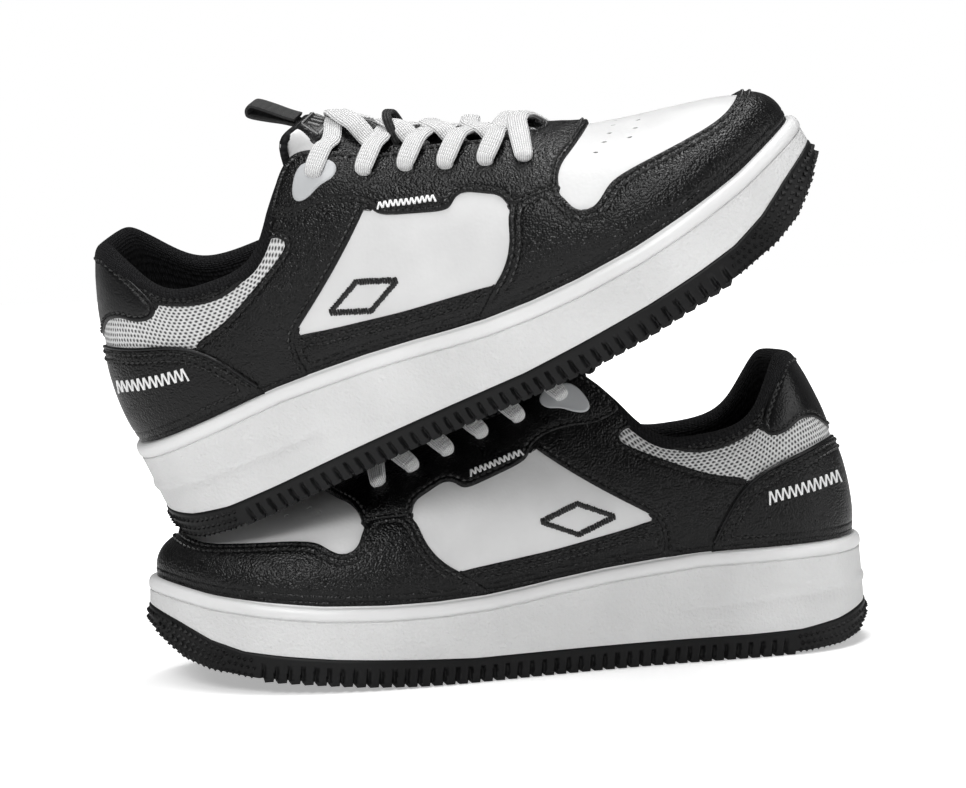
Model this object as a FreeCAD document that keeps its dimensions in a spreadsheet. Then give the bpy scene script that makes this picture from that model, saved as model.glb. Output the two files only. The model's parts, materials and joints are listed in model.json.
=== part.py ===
import FreeCAD, Part
import math
import os
from FreeCAD import Placement, Rotation, Vector

# A pair of laced low-top court shoes. The left shoe stands on its sole and the right shoe rests, tilted,
# on the left shoe's toe and instep. Each shoe is drawn as a left shoe in its own frame: x from the heel
# to the toe, y towards the outer (lateral) side of the foot, z up from the ground.

doc = FreeCAD.newDocument("court_shoes")

# ---------------------------------------------------------------- driving sizes, millimetres and degrees
SIZES = {
    "block_base": -2.0,
    "block_top": 52.0,
    "wall_taper": 2.6,
    "lip_width": 3.0,
    "footbed_level": 29.0,
    "footbed_depth": 40.0,
    "board_thickness": 2.0,
    "sockliner_thickness": 4.0,
    "footbed_wall": 9.0,
    "overlay_thickness": 1.3,
    "base_thickness": 1.5,
    "layer_gap": 0.15,
    "puff_thickness": 0.8,
    "lining_thickness": 3.6,
    "tongue_thickness": 5.2,
    "eyelet_radius": 2.2,
    "lace_width": 8.0,
    "lace_thickness": 1.8,
    "webbing_width": 14.0,
    "webbing_thickness": 1.6,
    "webbing_reach": 17.0,
    "keeper_at": 163.1,
    "keeper_half_span": 10.5,
    "keeper_rise": 10.2,
    "keeper_width": 2.8,
    "keeper_thickness": 1.4,
    "rest_roll": 14.0,
    "rest_pitch": -23.7,
    "rest_yaw": -24.2,
    "rest_x": -285.1,
    "rest_y": 15.7,
    "rest_z": 58.1,
}

sheet = doc.addObject("Spreadsheet::Sheet", "sizes")
for row, (name, value) in enumerate(SIZES.items(), start=1):
    sheet.set("A%d" % row, name)
    sheet.set("B%d" % row, str(value))
    sheet.setAlias("B%d" % row, name)
doc.recompute()


def size(name):
    return float(sheet.get(name))


# ---------------------------------------------------------------- stations round the shoe
# One row per station from the centre of the heel round the outer side to the centre of the toe:
# the sole's edge (x, outer y, inner y), then the two handles and the top edge of the upper's section.
STATIONS = [
    ((0.3, 0, 0), (4.8, 0, 72), (16, 0, 97), (29, 0, 120.5)),
    ((5, 17, 16), (8, 15.5, 71), (20, 12, 96), (32, 9.5, 120.5)),
    ((15.5, 29.5, 27), (17.5, 26, 69), (29, 22, 94), (38, 18, 118.5)),
    ((31, 37, 34.5), (32, 33.5, 66), (42, 28, 90), (46, 23, 108.5)),
    ((52, 40.3, 38), (52, 36, 60), (56, 32, 82), (57, 27.5, 95.5)),
    ((75, 41.3, 38.8), (75, 36.5, 57), (77, 34, 77), (77, 30.5, 90.4)),
    ((98, 42, 38.6), (98, 37, 57), (97, 34.5, 79), (97, 29.5, 93.5)),
    ((120, 43.8, 39), (120, 38.8, 61), (117, 32.5, 91), (115, 23, 112)),
    ((140, 46.3, 40.6), (140, 41, 62), (134, 31.5, 97), (131, 18.5, 119.5)),
    ((162, 49.6, 44), (162, 45, 57), (157, 33.5, 90), (152, 17.3, 107.5)),
    ((186, 53, 48.5), (186.5, 49.3, 53), (179, 36, 82), (174, 16.2, 99.5)),
    ((212, 54.8, 52), (214, 51.5, 53), (204, 37, 74), (194, 14.8, 91.5)),
    ((238, 53.2, 52.8), (240, 50, 53), (222, 32, 71), (206, 11.5, 86.5)),
    ((262, 46.3, 46.5), (265, 43.5, 56), (236, 25, 67.5), (211, 7.5, 84.8)),
    ((283.5, 32, 35), (286, 31, 62), (249, 14.5, 64.5), (213, 4, 84)),
    ((299, 14.5, 18.5), (297.5, 14.5, 67), (258, 6.5, 63.5), (213.8, 1.9, 83.7)),
    ((304, 0, 0), (301.5, 0, 68.5), (261, 0, 63), (214, 0, 83.6)),
]
LAST = len(STATIONS) - 1
SPINE_X = (40.0, 250.0)

# height of the midsole's top edge along the shoe
FEATHER = [(-5, 44.5), (40, 44), (80, 43.5), (100, 41.6), (120, 39.6), (140, 37), (155, 34.8), (170, 33),
           (190, 32), (210, 32), (235, 33), (260, 35.5), (280, 38), (299, 42), (312, 45)]
# where the black outsole meets the white midsole
SPLIT = [(-5, 18), (8, 15.5), (20, 12.5), (38, 10), (60, 9.6), (175, 9.6), (200, 11), (230, 13), (250, 15),
         (267, 17), (280, 21), (292, 27), (301, 31), (312, 36)]
# underside of the outsole: flat under the foot, rising at the heel and at the toe
GROUND = [(-6, 18), (3, 9.5), (10, 4), (20, 1.2), (36, 0), (60, 0), (180, 0), (200, 0.4), (220, 1.6), (240, 3.5),
          (262, 5.5), (280, 8.5), (290, 12), (299, 19), (312, 34)]
# half of the gap along the line where outsole and midsole meet, and how far the cutting outlines reach
PARTING = 0.05
CUT_LOW, CUT_HIGH, CUT_ASIDE = -40, 90, 3


def curve_through(points, parameters=None, closed=False):
    """A cubic curve through the points."""
    curve = Part.BSplineCurve()
    vectors = [Vector(*p) for p in points]
    if parameters is None:
        curve.interpolate(Points=vectors, PeriodicFlag=closed)
    else:
        curve.interpolate(Points=vectors, Parameters=parameters, PeriodicFlag=closed)
    return curve


def height_at(profile, x):
    """The profile's height at x, straight from point to point."""
    for (x0, z0), (x1, z1) in zip(profile, profile[1:]):
        if x <= x1:
            return z0 + (z1 - z0) * (x - x0) / (x1 - x0)
    return profile[-1][1]


def inset(x, y, distance):
    """The plan point moved towards the shoe's spine."""
    spine = min(max(x, SPINE_X[0]), SPINE_X[1])
    reach = math.hypot(x - spine, y)
    scale = (reach - distance) / reach
    return spine + (x - spine) * scale, y * scale


def station_points():
    """The four section points of every station, outer side first and then the inner side back to the heel."""
    foot, low, high, top = [], [], [], []
    edge = size("wall_taper") + size("lip_width")
    outer = list(range(LAST + 1))
    inner = list(range(LAST - 1, 0, -1))
    for index, side in [(i, 1) for i in outer] + [(i, -1) for i in inner]:
        (px, y_out, y_in), a, b, t = STATIONS[index]
        fx, fy = inset(px, y_out, edge)
        if side < 0:
            _, fy_in = inset(px, y_in, edge)
            narrow = fy_in / fy if fy else 1.0
            foot.append((fx, -fy_in, height_at(FEATHER, fx)))
            low.append((a[0], -a[1] * narrow, a[2]))
            high.append((b[0], -b[1] * (1 + narrow) / 2, b[2]))
            top.append((t[0], -t[1], t[2]))
        else:
            foot.append((fx, fy, height_at(FEATHER, fx)))
            low.append(a)
            high.append(b)
            top.append(t)
    return foot, low, high, top


RING = station_points()
RING_KNOTS = [float(i) for i in range(2 * LAST + 1)]
RING_CURVES = [curve_through(points, RING_KNOTS, closed=True) for points in RING]


def upper_point(u, v):
    """Point of the upper's outer face: u counts stations round the shoe, v goes from sole 0 to top edge 1."""
    f, a, b, t = [curve.value(u % (2 * LAST)) for curve in RING_CURVES]
    w = 1 - v
    return f * (w ** 3) + a * (3 * w * w * v) + b * (3 * w * v * v) + t * (v ** 3)


def upper_offset(u, v, depth):
    """Point at a depth below the upper's outer face."""
    step = 0.02
    along = upper_point(u + step, v) - upper_point(u - step, v)
    up = upper_point(u, v + step) - upper_point(u, v - step)
    inward = along.cross(up)
    inward.normalize()
    return upper_point(u, v) + inward * depth


def surface_through(grid):
    surface = Part.BSplineSurface()
    surface.interpolate(grid)
    return surface


def slab(front_grid, back_grid):
    """A closed solid between two grids of points with the same rows and columns."""
    surfaces = [surface_through(front_grid), surface_through(back_grid)]
    faces = [surface.toShape() for surface in surfaces]
    for which in range(4):
        edges = []
        for surface in surfaces:
            u0, u1, v0, v1 = surface.bounds()
            iso = surface.uIso((u0, u1)[which]) if which < 2 else surface.vIso((v0, v1)[which - 2])
            edges.append(iso.toShape())
        faces.append(Part.makeRuledSurface(edges[0], edges[1]))
    shell = Part.Shell(Part.makeShell(faces).Faces)
    shell.sewShape()
    solid = Part.Solid(Part.Shell(shell.Faces))
    if solid.Volume < 0:
        solid.reverse()
    return solid


FRONT = (5.5, 2 * LAST - 5.5)
REAR = (-8.5, 8.5)


def upper_layer(depth_out, depth_in, u_range, v_range, rows=43, columns=9):
    """A layer of the upper between two depths below its outer face, round the toe or round the heel."""
    def grid(depth):
        lines = []
        for i in range(rows):
            u = u_range[0] + (u_range[1] - u_range[0]) * i / (rows - 1)
            lines.append([upper_offset(u, v_range[0] + (v_range[1] - v_range[0]) * j / (columns - 1), depth)
                          for j in range(columns)])
        return lines
    return slab(grid(depth_out), grid(depth_in))


def side_prism(outline, y_from=-90.0, y_to=90.0):
    """A prism across the shoe with an outline drawn in the side view (x, z)."""
    points = [Vector(x, y_from, z) for x, z in outline]
    wire = Part.makePolygon(points + [points[0]])
    return Part.Face(wire).extrude(Vector(0, y_to - y_from, 0))


# ---------------------------------------------------------------- outlines of the panels, side view (x, z)
HEEL_SEAM = [(76, 25), (76, 43), (72, 50.5), (66, 61), (60, 68.5), (53, 74), (45, 77.5), (35, 80.5), (25, 84),
             (18, 86), (-10, 86)]
TAB_FOOT = [(-10, 86.3), (12, 86.3), (20, 92.5), (25, 95.5), (32, 95), (36, 92), (41, 89.5), (46, 89),
            (49.5, 91)]
TAB_FRONT = [(50, 95), (46, 104), (41, 113), (37, 119), (34, 140), (-10, 140)]
MESH_FOOT = [(57, 73.5), (70, 75), (80, 78), (90, 82), (100, 86), (110.5, 91), (110, 93.5), (105, 97)]
MESH_HEAD = [(98, 91.5), (90, 87), (80, 84.2), (70, 84.8), (60, 88), (51, 92.5)]
SADDLE_FRONT = [(95, 25), (95, 42), (94, 50), (95.5, 57), (98, 60), (104, 63.5), (112, 68), (122, 74),
                (132, 80.5), (141, 87), (146, 91)]
SADDLE_TOP = [(140, 95), (130, 97.5), (120, 97.5), (110, 101.5), (104, 106)]
WINDOW_FOOT = [(97, 59), (110, 55.5), (125, 52.5), (140, 49.5), (155, 47.5), (170, 45.5), (178, 44.5)]
GUARD_REAR = [(165, 20), (165, 33.5), (170, 37), (178, 43), (186, 48), (192, 55), (195, 63), (196.5, 66)]
GUARD_TOP = [(210, 65.5), (217, 64), (219, 58), (221.5, 55), (225, 53.5), (229, 54.5), (233, 57), (236, 58.8),
             (245, 59.3), (260, 58.6), (278, 58), (286, 60), (289.5, 64), (290.5, 90)]
STAY_FOOT = [(147, 91), (148, 87), (151.5, 84.5), (173.5, 76.2), (176, 76.5), (180, 79.5), (184, 79),
             (190, 75.5), (195, 73), (196.8, 70), (196.8, 66.4)]
STAY_FRONT = [(210, 65.9), (217.3, 64.4), (218, 69), (221, 72.5), (226, 74.5), (231, 77), (234, 80), (238, 95)]
STAY_REAR = [(108, 140), (105, 106), (110, 101.8), (120, 97.8), (130, 97.8), (140, 95.3)]
EYELETS = [(133, 109.5), (150.5, 101.5), (166, 95.5), (180.5, 89.5), (195, 83.5), (208, 78)]
PATCH = [(120, 105), (124, 112), (129, 115.5), (134, 113.5), (139, 112.5), (142, 108), (139, 104.5),
         (133, 105), (128, 103), (123, 102.5)]

OUTLINES = {
    "heel_overlay": HEEL_SEAM + [(-10, 20)],
    "heel_tab": TAB_FOOT + TAB_FRONT,
    "saddle": ([(76.3, 25), (76.3, 43), (72.3, 50.7), (66.3, 61.2), (60.2, 68.8)] + MESH_FOOT + MESH_HEAD
               + [(50.4, 95), (46.4, 104), (41.4, 113), (40, 128), (100, 128)] + SADDLE_TOP[::-1]
               + SADDLE_FRONT[::-1]),
    "foxing": ([(95.3, 20), (95.3, 42), (94.3, 50), (95.8, 56.8)] + WINDOW_FOOT
               + [(177.6, 43.2), (169.7, 37.3), (164.7, 33.7), (164.7, 20)]),
    "toe_overlay": GUARD_REAR + GUARD_TOP + [(330, 90), (330, 20)],
    "eyestay": STAY_FOOT + STAY_FRONT + STAY_REAR,
}
BASE_OUTLINES = {
    "heel_counter": [(-10, 20), (58, 20), (58, 66), (50, 70), (40, 73), (20, 78), (-10, 80)],
    "collar_mesh": [(-10, 80.3), (20, 78.3), (40, 73.3), (50, 70.3), (58.3, 66.3), (72, 68), (85, 73),
                    (100, 79), (116, 88), (112, 96), (106, 130), (-10, 130)],
    "quarter": [(58.3, 20), (58.3, 66), (72, 67.7), (85, 72.7), (100, 78.7), (116.3, 87.8), (112.3, 96),
                (106.3, 130), (140, 130), (201, 110), (203, 64), (199, 20)],
    "vamp": [(199.3, 20), (203.3, 64), (201.3, 110), (330, 110), (330, 20)],
}

made = {}


def add_shape(name, shape):
    """A document object holding a shape made above."""
    item = doc.addObject("Part::Feature", name)
    item.Shape = shape
    item.Label = name
    made[name] = item
    return item


def largest(shape):
    """The shape's solids without slivers."""
    solids = [s for s in shape.Solids if s.Volume > 5.0]
    return solids[0] if len(solids) == 1 else Part.makeCompound(solids)


def panel(layer, outline, y_from=-90.0, y_to=90.0):
    """The part of a layer inside a side-view outline."""
    return largest(layer.common(side_prism(outline, y_from, y_to)))


SIDES = {"lateral": (0.0, 90.0), "medial": (-90.0, 0.0)}

# ---------------------------------------------------------------- the layered upper
gap = size("layer_gap")
overlay = size("overlay_thickness")
base_out = overlay + gap
base_in = base_out + size("base_thickness")

overlay_front = upper_layer(0.0, overlay, FRONT, (0.004, 1.0))
overlay_rear = upper_layer(0.0, overlay, REAR, (0.004, 1.0))
base_front = upper_layer(base_out, base_in, FRONT, (0.0, 0.985))
base_rear = upper_layer(base_out, base_in, REAR, (0.0, 0.985))


def eyelet_drill(x, z, side):
    """A round cutter through the upper at an eyelet, square to its face."""
    best = None
    for i in range(0, 141):
        u = 6 + 8 * i / 140
        for j in range(40, 100):
            v = j / 100
            p = upper_point(u, v)
            miss = math.hypot(p.x - x, p.z - z)
            if best is None or miss < best[0]:
                best = (miss, u, v)
    _, u, v = best
    if side < 0:
        u = 2 * LAST - u
    surface_point = upper_offset(u, v, 0.0)
    normal = upper_offset(u, v, -1.0) - surface_point
    normal.normalize()
    drill = Part.makeCylinder(size("eyelet_radius"), 14, surface_point - normal * 9, normal)
    return drill, surface_point, normal


drills = {}
for side in (1, -1):
    for number, (x, z) in enumerate(EYELETS):
        drills[side, number] = eyelet_drill(x, z, side)
all_drills = Part.makeCompound([drill for drill, _, _ in drills.values()])

for name, layer in (("heel_overlay", overlay_rear), ("heel_tab", overlay_rear), ("toe_overlay", overlay_front)):
    add_shape(name, panel(layer, OUTLINES[name]))
add_shape("eyestay", panel(overlay_front, OUTLINES["eyestay"]).cut(all_drills))
for side, (y_from, y_to) in SIDES.items():
    add_shape("saddle_" + side, panel(overlay_rear, OUTLINES["saddle"], y_from, y_to))
    add_shape("foxing_" + side, panel(overlay_front, OUTLINES["foxing"], y_from, y_to))
    add_shape("quarter_" + side, panel(base_front, BASE_OUTLINES["quarter"], y_from, y_to).cut(all_drills))
for name in ("heel_counter", "collar_mesh"):
    add_shape(name, panel(base_rear, BASE_OUTLINES[name]))
add_shape("vamp", panel(base_front, BASE_OUTLINES["vamp"]).cut(all_drills))

puff_out = base_in + gap
puff_layer = upper_layer(puff_out, puff_out + size("puff_thickness"), FRONT, (0.02, 0.7))
add_shape("toe_puff", panel(puff_layer, [(262, 20), (262, 90), (330, 90), (330, 20)]))

patch_layer = upper_layer(-1.2, -gap, FRONT, (0.5, 0.99))
for side, (y_from, y_to) in SIDES.items():
    add_shape("eyelet_patch_" + side, panel(patch_layer, PATCH, y_from, y_to).cut(all_drills))

lining_out = base_in + gap
lining_layer = upper_layer(lining_out, lining_out + size("lining_thickness"), REAR, (0.05, 1.05))
add_shape("collar_lining", panel(lining_layer, [(-10, 20), (-10, 150), (116, 150), (116, 20)]))


# ---------------------------------------------------------------- tongue, its panel and label
# down the middle of the tongue: x, z, half width, and how far the edges fall behind the middle
TONGUE = [(224, 73, 15, 4), (211, 80.5, 21, 11), (197, 88, 24, 14), (181, 96.5, 26.5, 16),
          (165, 105, 28, 18.5), (152, 113, 29, 25), (142, 121.5, 29, 29), (134, 129.5, 27, 30)]


def tongue_point(row, across, depth):
    """Point on the tongue: across runs from -1 to 1, depth is measured behind its front face."""
    x, z, half_width, fall = TONGUE[row]
    x0, z0 = TONGUE[max(row - 1, 0)][:2]
    x1, z1 = TONGUE[min(row + 1, len(TONGUE) - 1)][:2]
    length = math.hypot(x1 - x0, z1 - z0)
    normal = Vector((z1 - z0) / length, 0, (x0 - x1) / length)
    back = fall * abs(across) ** 1.7 + depth
    return Vector(x, half_width * across, z) - normal * back


def tongue_slab(rows, reach, depth_out, depth_in, columns=9):
    def grid(depth):
        thin = [1.0 if r > 0 else 0.5 for r in rows]
        return [[tongue_point(r, reach * (2 * c / (columns - 1) - 1), depth * thin[i])
                 for c in range(columns)] for i, r in enumerate(rows)]
    return slab(grid(depth_out), grid(depth_in))


tongue_thickness = size("tongue_thickness")
# the tongue passes under the upper's edges and inside the collar lining with room to spare
room = 0.4
under_upper = upper_layer(-7.0, base_in + room, FRONT, (0.3, 1.03))
inside_lining = upper_layer(-7.0, lining_out + size("lining_thickness") + room, (-7.3, 7.3), (0.3, 1.09))
tongue_front = 1.8
tongue = tongue_slab(range(8), 1.0, tongue_front, tongue_front + tongue_thickness)
tongue = tongue.cut([under_upper, inside_lining])
add_shape("tongue", max(tongue.Solids, key=lambda solid: solid.Volume))
add_shape("tongue_panel", tongue_slab(range(1, 7), 0.45, 0.1, 0.7))
add_shape("tongue_label", tongue_slab((6, 7), 0.42, 0.1, 0.6))


# ---------------------------------------------------------------- laces: a bar and ten crossing runs
def ribbon(path, width, thickness, across):
    """A flat tape along a path of points."""
    def grid(lift):
        lines = []
        for i, point in enumerate(path):
            before, after = path[max(i - 1, 0)], path[min(i + 1, len(path) - 1)]
            along = after - before
            along.normalize()
            side = across - along * across.dot(along)
            side.normalize()
            normal = side.cross(along)
            lines.append([point + side * (width * k) + normal * lift for k in (-0.5, 0.0, 0.5)])
        return lines
    return slab(grid(0.0), grid(thickness))


def lace_height(x, y):
    """Lowest height for a lace over the tongue and the edges of the eyestay."""
    rows = sorted((p[0], p[1], p[2], p[3]) for p in TONGUE)
    for low, high in zip(rows, rows[1:]):
        if x <= high[0]:
            share = (x - low[0]) / (high[0] - low[0])
            z, half_width, fall = [a + (b - a) * share for a, b in zip(low[1:], high[1:])]
            return z - fall * min(abs(y) / half_width, 1.0) ** 1.7
    return rows[-1][1]


# the laces lie square to the slope of the instep
LACE_ACROSS = Vector(0.88, 0, -0.47)


def lace_run(number, side):
    """One run from inside the throat on the far side to the eyelet on this side."""
    _, eye, normal = drills[side, number]
    x_start = EYELETS[number + 1][0] + (2.8 if number < 4 else -3)
    far = -side * (9.5 if number < 4 else 7.0)
    over = 2.0 if side > 0 else 4.2
    middle_x = (x_start + eye.x) / 2
    edge = eye + Vector(3, -side * 5.2, 5.4)
    fourth_x = (middle_x + edge.x) / 2
    return [Vector(x_start, far, lace_height(x_start, far) + 1.6),
            Vector((x_start * 2 + middle_x) / 3, far * 0.6, lace_height(middle_x + 5, far * 0.6) + over * 0.8 + 0.6),
            Vector(middle_x, 0, lace_height(middle_x, 0) + over),
            Vector(fourth_x, edge.y * 0.62, max(lace_height(fourth_x, edge.y * 0.62), edge.z) + 1.9),
            edge + Vector(0, 0, 2.0),
            eye + normal * 3.0 + Vector(-0.5, side * 0.4, 0)]


lace_width = size("lace_width")
lace_thickness = size("lace_thickness")
runs = []
for number in range(5):
    for side in (1, -1):
        run = ribbon(lace_run(number, side), lace_width * 0.8, lace_thickness, LACE_ACROSS * side)
        runs.append(run)
_, left_eye, left_normal = drills[1, 5]
_, right_eye, right_normal = drills[-1, 5]
bar_top = 89.5
bar = [left_eye + left_normal * 1.4, Vector(208, 12, 87.6), Vector(207.5, 6, bar_top), Vector(207.5, 0, bar_top + 0.6),
       Vector(207.5, -6, bar_top), Vector(208, -12, 87.6), right_eye + right_normal * 1.4]
runs.append(ribbon(bar, lace_width * 0.8, lace_thickness, LACE_ACROSS * -1))
add_shape("lace", Part.makeCompound(runs))


# ---------------------------------------------------------------- pieces with plain outlines, as bodies
def origin_plane(body, role):
    for feature in body.Origin.OriginFeatures:
        if feature.Role == role:
            return feature
    raise RuntimeError("no origin plane " + role)


def new_body(name):
    body = doc.addObject("PartDesign::Body", name)
    body.Label = name
    made[name] = body
    return body


def sketch_on(body, name, role, height=None):
    sketch = body.newObject("Sketcher::SketchObject", name)
    sketch.AttachmentSupport = (origin_plane(body, role), [""])
    sketch.MapMode = "FlatFace"
    if height is not None:
        sketch.setExpression("AttachmentOffset.Base.z", height)
    return sketch


def plan_ring(distance):
    """The sole's outline in plan, moved in by a distance, as one closed smooth curve."""
    points = [inset(p[0], p[1], distance) for p, _, _, _ in STATIONS]
    points += [inset(p[0], -p[2], distance) for p, _, _, _ in STATIONS[-2:0:-1]]
    return curve_through([(x, y, 0) for x, y in points], RING_KNOTS, closed=True)


def profile_pocket(body, name, lower, upper):
    """Cuts away what is outside the side-view band between two profiles, each a closed sketch."""
    for suffix, points in (("_under", lower), ("_over", upper)):
        if points is None:
            continue
        sketch = sketch_on(body, name + suffix + "_sketch", "XZ_Plane")
        for start, end in zip(points, points[1:] + points[:1]):
            sketch.addGeometry(Part.LineSegment(Vector(*start, 0), Vector(*end, 0)))
        pocket = body.newObject("PartDesign::Pocket", name + suffix)
        pocket.Profile = sketch
        pocket.Type = "ThroughAll"
        pocket.SideType = "Symmetric"
        doc.recompute()


def below(profile, margin=0.0):
    """Closed outline of everything under a profile."""
    ends = [(profile[-1][0] + CUT_ASIDE, CUT_LOW), (profile[0][0] - CUT_ASIDE, CUT_LOW)]
    return [(x, z - margin) for x, z in profile] + ends


def above(profile, margin=0.0):
    """Closed outline of everything over a profile."""
    ends = [(profile[-1][0] + CUT_ASIDE, CUT_HIGH), (profile[0][0] - CUT_ASIDE, CUT_HIGH)]
    return [(x, z + margin) for x, z in profile] + ends


def sole_block(body, name):
    """The sole's full block, tapering from the ground to the top of its wall."""
    bottom = sketch_on(body, name + "_bottom", "XY_Plane", "sizes.block_base")
    bottom.addGeometry(plan_ring(0.0))
    top = sketch_on(body, name + "_top", "XY_Plane", "sizes.block_top")
    top.addGeometry(plan_ring(size("wall_taper") * 1.2))
    loft = body.newObject("PartDesign::AdditiveLoft", name + "_block")
    loft.Profile = bottom
    loft.Sections = [top]
    loft.Ruled = True
    doc.recompute()


outsole = new_body("outsole")
sole_block(outsole, "outsole")
profile_pocket(outsole, "outsole_cut", below(GROUND), above(SPLIT, -PARTING))

midsole = new_body("midsole")
sole_block(midsole, "midsole")
profile_pocket(midsole, "midsole_cut", below(SPLIT, -PARTING), above(FEATHER))
footbed = sketch_on(midsole, "footbed_outline", "XY_Plane", "sizes.footbed_level + sizes.footbed_depth")
footbed.addGeometry(plan_ring(size("wall_taper") + size("lip_width") - 0.2))
cavity = midsole.newObject("PartDesign::Pocket", "footbed_cavity")
cavity.Profile = footbed
cavity.setExpression("Length", "sizes.footbed_depth")
volume_before = midsole.Shape.Volume if midsole.Shape.Solids else 0
doc.recompute()
assert midsole.Shape.Volume < volume_before, "the footbed cavity cuts nothing"


def flat_body(name, distance, level, thickness):
    """A flat sheet with the sole's outline."""
    body = new_body(name)
    sketch = sketch_on(body, name + "_outline", "XY_Plane", level)
    sketch.addGeometry(plan_ring(distance))
    pad = body.newObject("PartDesign::Pad", name + "_pad")
    pad.Profile = sketch
    pad.setExpression("Length", thickness)
    doc.recompute()


flat_body("insole_board", size("footbed_wall"), "sizes.footbed_level + 0.05", "sizes.board_thickness")
flat_body("sockliner", size("footbed_wall") + 3.5, "sizes.footbed_level + sizes.board_thickness + 0.1",
          "sizes.sockliner_thickness")


def strip_body(name, path, thickness, width):
    """A bent strap: a side-view outline round its centre line, padded to its width across the shoe."""
    body = new_body(name)
    sketch = sketch_on(body, name + "_outline", "XZ_Plane")
    half = thickness / 2
    outer, inner = [], []
    for i, (x, z) in enumerate(path):
        x0, z0 = path[max(i - 1, 0)]
        x1, z1 = path[min(i + 1, len(path) - 1)]
        length = math.hypot(x1 - x0, z1 - z0)
        nx, nz = -(z1 - z0) / length, (x1 - x0) / length
        outer.append((x + nx * half, z + nz * half))
        inner.append((x - nx * half, z - nz * half))
    ring = outer + inner[::-1]
    for start, end in zip(ring, ring[1:] + ring[:1]):
        sketch.addGeometry(Part.LineSegment(Vector(*start, 0), Vector(*end, 0)))
    pad = body.newObject("PartDesign::Pad", name + "_pad")
    pad.Profile = sketch
    pad.SideType = "Symmetric"
    pad.setExpression("Length", width)
    doc.recompute()
    return body


def loop_path(angle):
    """Centre line of the pull loop in side view: a folded tape that leaves the tongue's top at an angle."""
    root_x, root_z = 128.6, 130.3
    reach = size("webbing_reach")
    spread = 1.25
    turn = math.radians(angle)
    ax, az = math.cos(turn), math.sin(turn)
    sx, sz = -az, ax

    def place(along, aside):
        return root_x + ax * along + sx * aside, root_z + az * along + sz * aside
    bend = [place(reach - spread + spread * math.cos(math.radians(a)), spread * math.sin(math.radians(a)))
            for a in (-60, 0, 60)]
    return [place(0, -spread), place(reach * 0.5, -spread), place(reach - spread, -spread)] + bend + [
        place(reach - spread, spread), place(reach * 0.5, spread), place(0, spread)]


LOOP_ANGLE = {"left": 222.0, "right": 139.0}
for shoe, angle in LOOP_ANGLE.items():
    strip_body(shoe + "_loop", loop_path(angle), size("webbing_thickness"), "sizes.webbing_width")


def keeper_shape():
    """The lace keeper: a strap over the laces, sewn to the tongue at both ends."""
    x = size("keeper_at")
    foot, rise = size("keeper_half_span"), size("keeper_rise")
    top = lace_height(x, 0) + rise
    # foot on the tongue, side of the loop, shoulder
    half = [(foot, lace_height(x, foot) + 0.4), (foot - 1.0, lace_height(x, foot - 1.0) + rise / 2),
            (foot - 4.5, top - 1.2)]
    path = [Vector(x, -y, height) for y, height in half] + [Vector(x, 0, top)]
    path += [Vector(x, y, height) for y, height in reversed(half)]
    return ribbon(path, size("keeper_width"), size("keeper_thickness"), LACE_ACROSS)


add_shape("lace_keeper", keeper_shape())
doc.recompute()

# ---------------------------------------------------------------- both shoes from one set of pieces
REST = Placement(Vector(size("rest_x"), size("rest_y"), size("rest_z")),
                 Rotation(size("rest_yaw"), size("rest_pitch"), size("rest_roll")))
STAND = Placement(Vector(0, 0, 0), Rotation(180, 0, 0))

pair = {}
for name, item in made.items():
    if name.endswith("_loop"):
        continue
    pair["left_" + name] = (item.Shape.copy(), STAND)
    pair["right_" + name] = (item.Shape.mirror(Vector(0, 0, 0), Vector(0, 1, 0)), REST)
pair["left_pull_loop"] = (made["left_loop"].Shape.copy(), STAND)
pair["right_pull_loop"] = (made["right_loop"].Shape.mirror(Vector(0, 0, 0), Vector(0, 1, 0)), REST)

nodes = {}
for name, (shape, placement) in pair.items():
    node = doc.addObject("Part::Feature", "node_" + name)
    node.Shape = shape
    node.Label = name
    node.Placement = placement
    nodes[name] = node

# the origin is the bottom centre of the whole pair's box
box = FreeCAD.BoundBox()
for node in nodes.values():
    box.add(node.Shape.optimalBoundingBox(False, False))
shift = Placement(Vector(-box.Center.x, -box.Center.y, -box.ZMin), Rotation())
for node in nodes.values():
    node.Placement = shift.multiply(node.Placement)
doc.recompute()

# ---------------------------------------------------------------- checks and files
for item in doc.Objects:
    for word in ("Invalid", "Error"):
        assert word not in item.State, item.Label + " is " + word
for name, node in nodes.items():
    shape = node.Shape
    assert not shape.isNull() and shape.Solids, name + " has no solid"
    assert shape.isValid(), name + " is not valid"
    assert shape.Volume > 0, name + " has no volume"

os.makedirs("parts", exist_ok=True)
for name, node in nodes.items():
    node.Shape.exportStep(os.path.join("parts", name + ".step"))
print("nodes", len(nodes), "box", box.XLength, box.YLength, box.ZLength, "shift", shift.Base)
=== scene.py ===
import json
import math
import bpy
import numpy as np
from mathutils import Euler, Matrix, Vector
from mathutils.geometry import delaunay_2d_cdt
from mathutils.kdtree import KDTree


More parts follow.
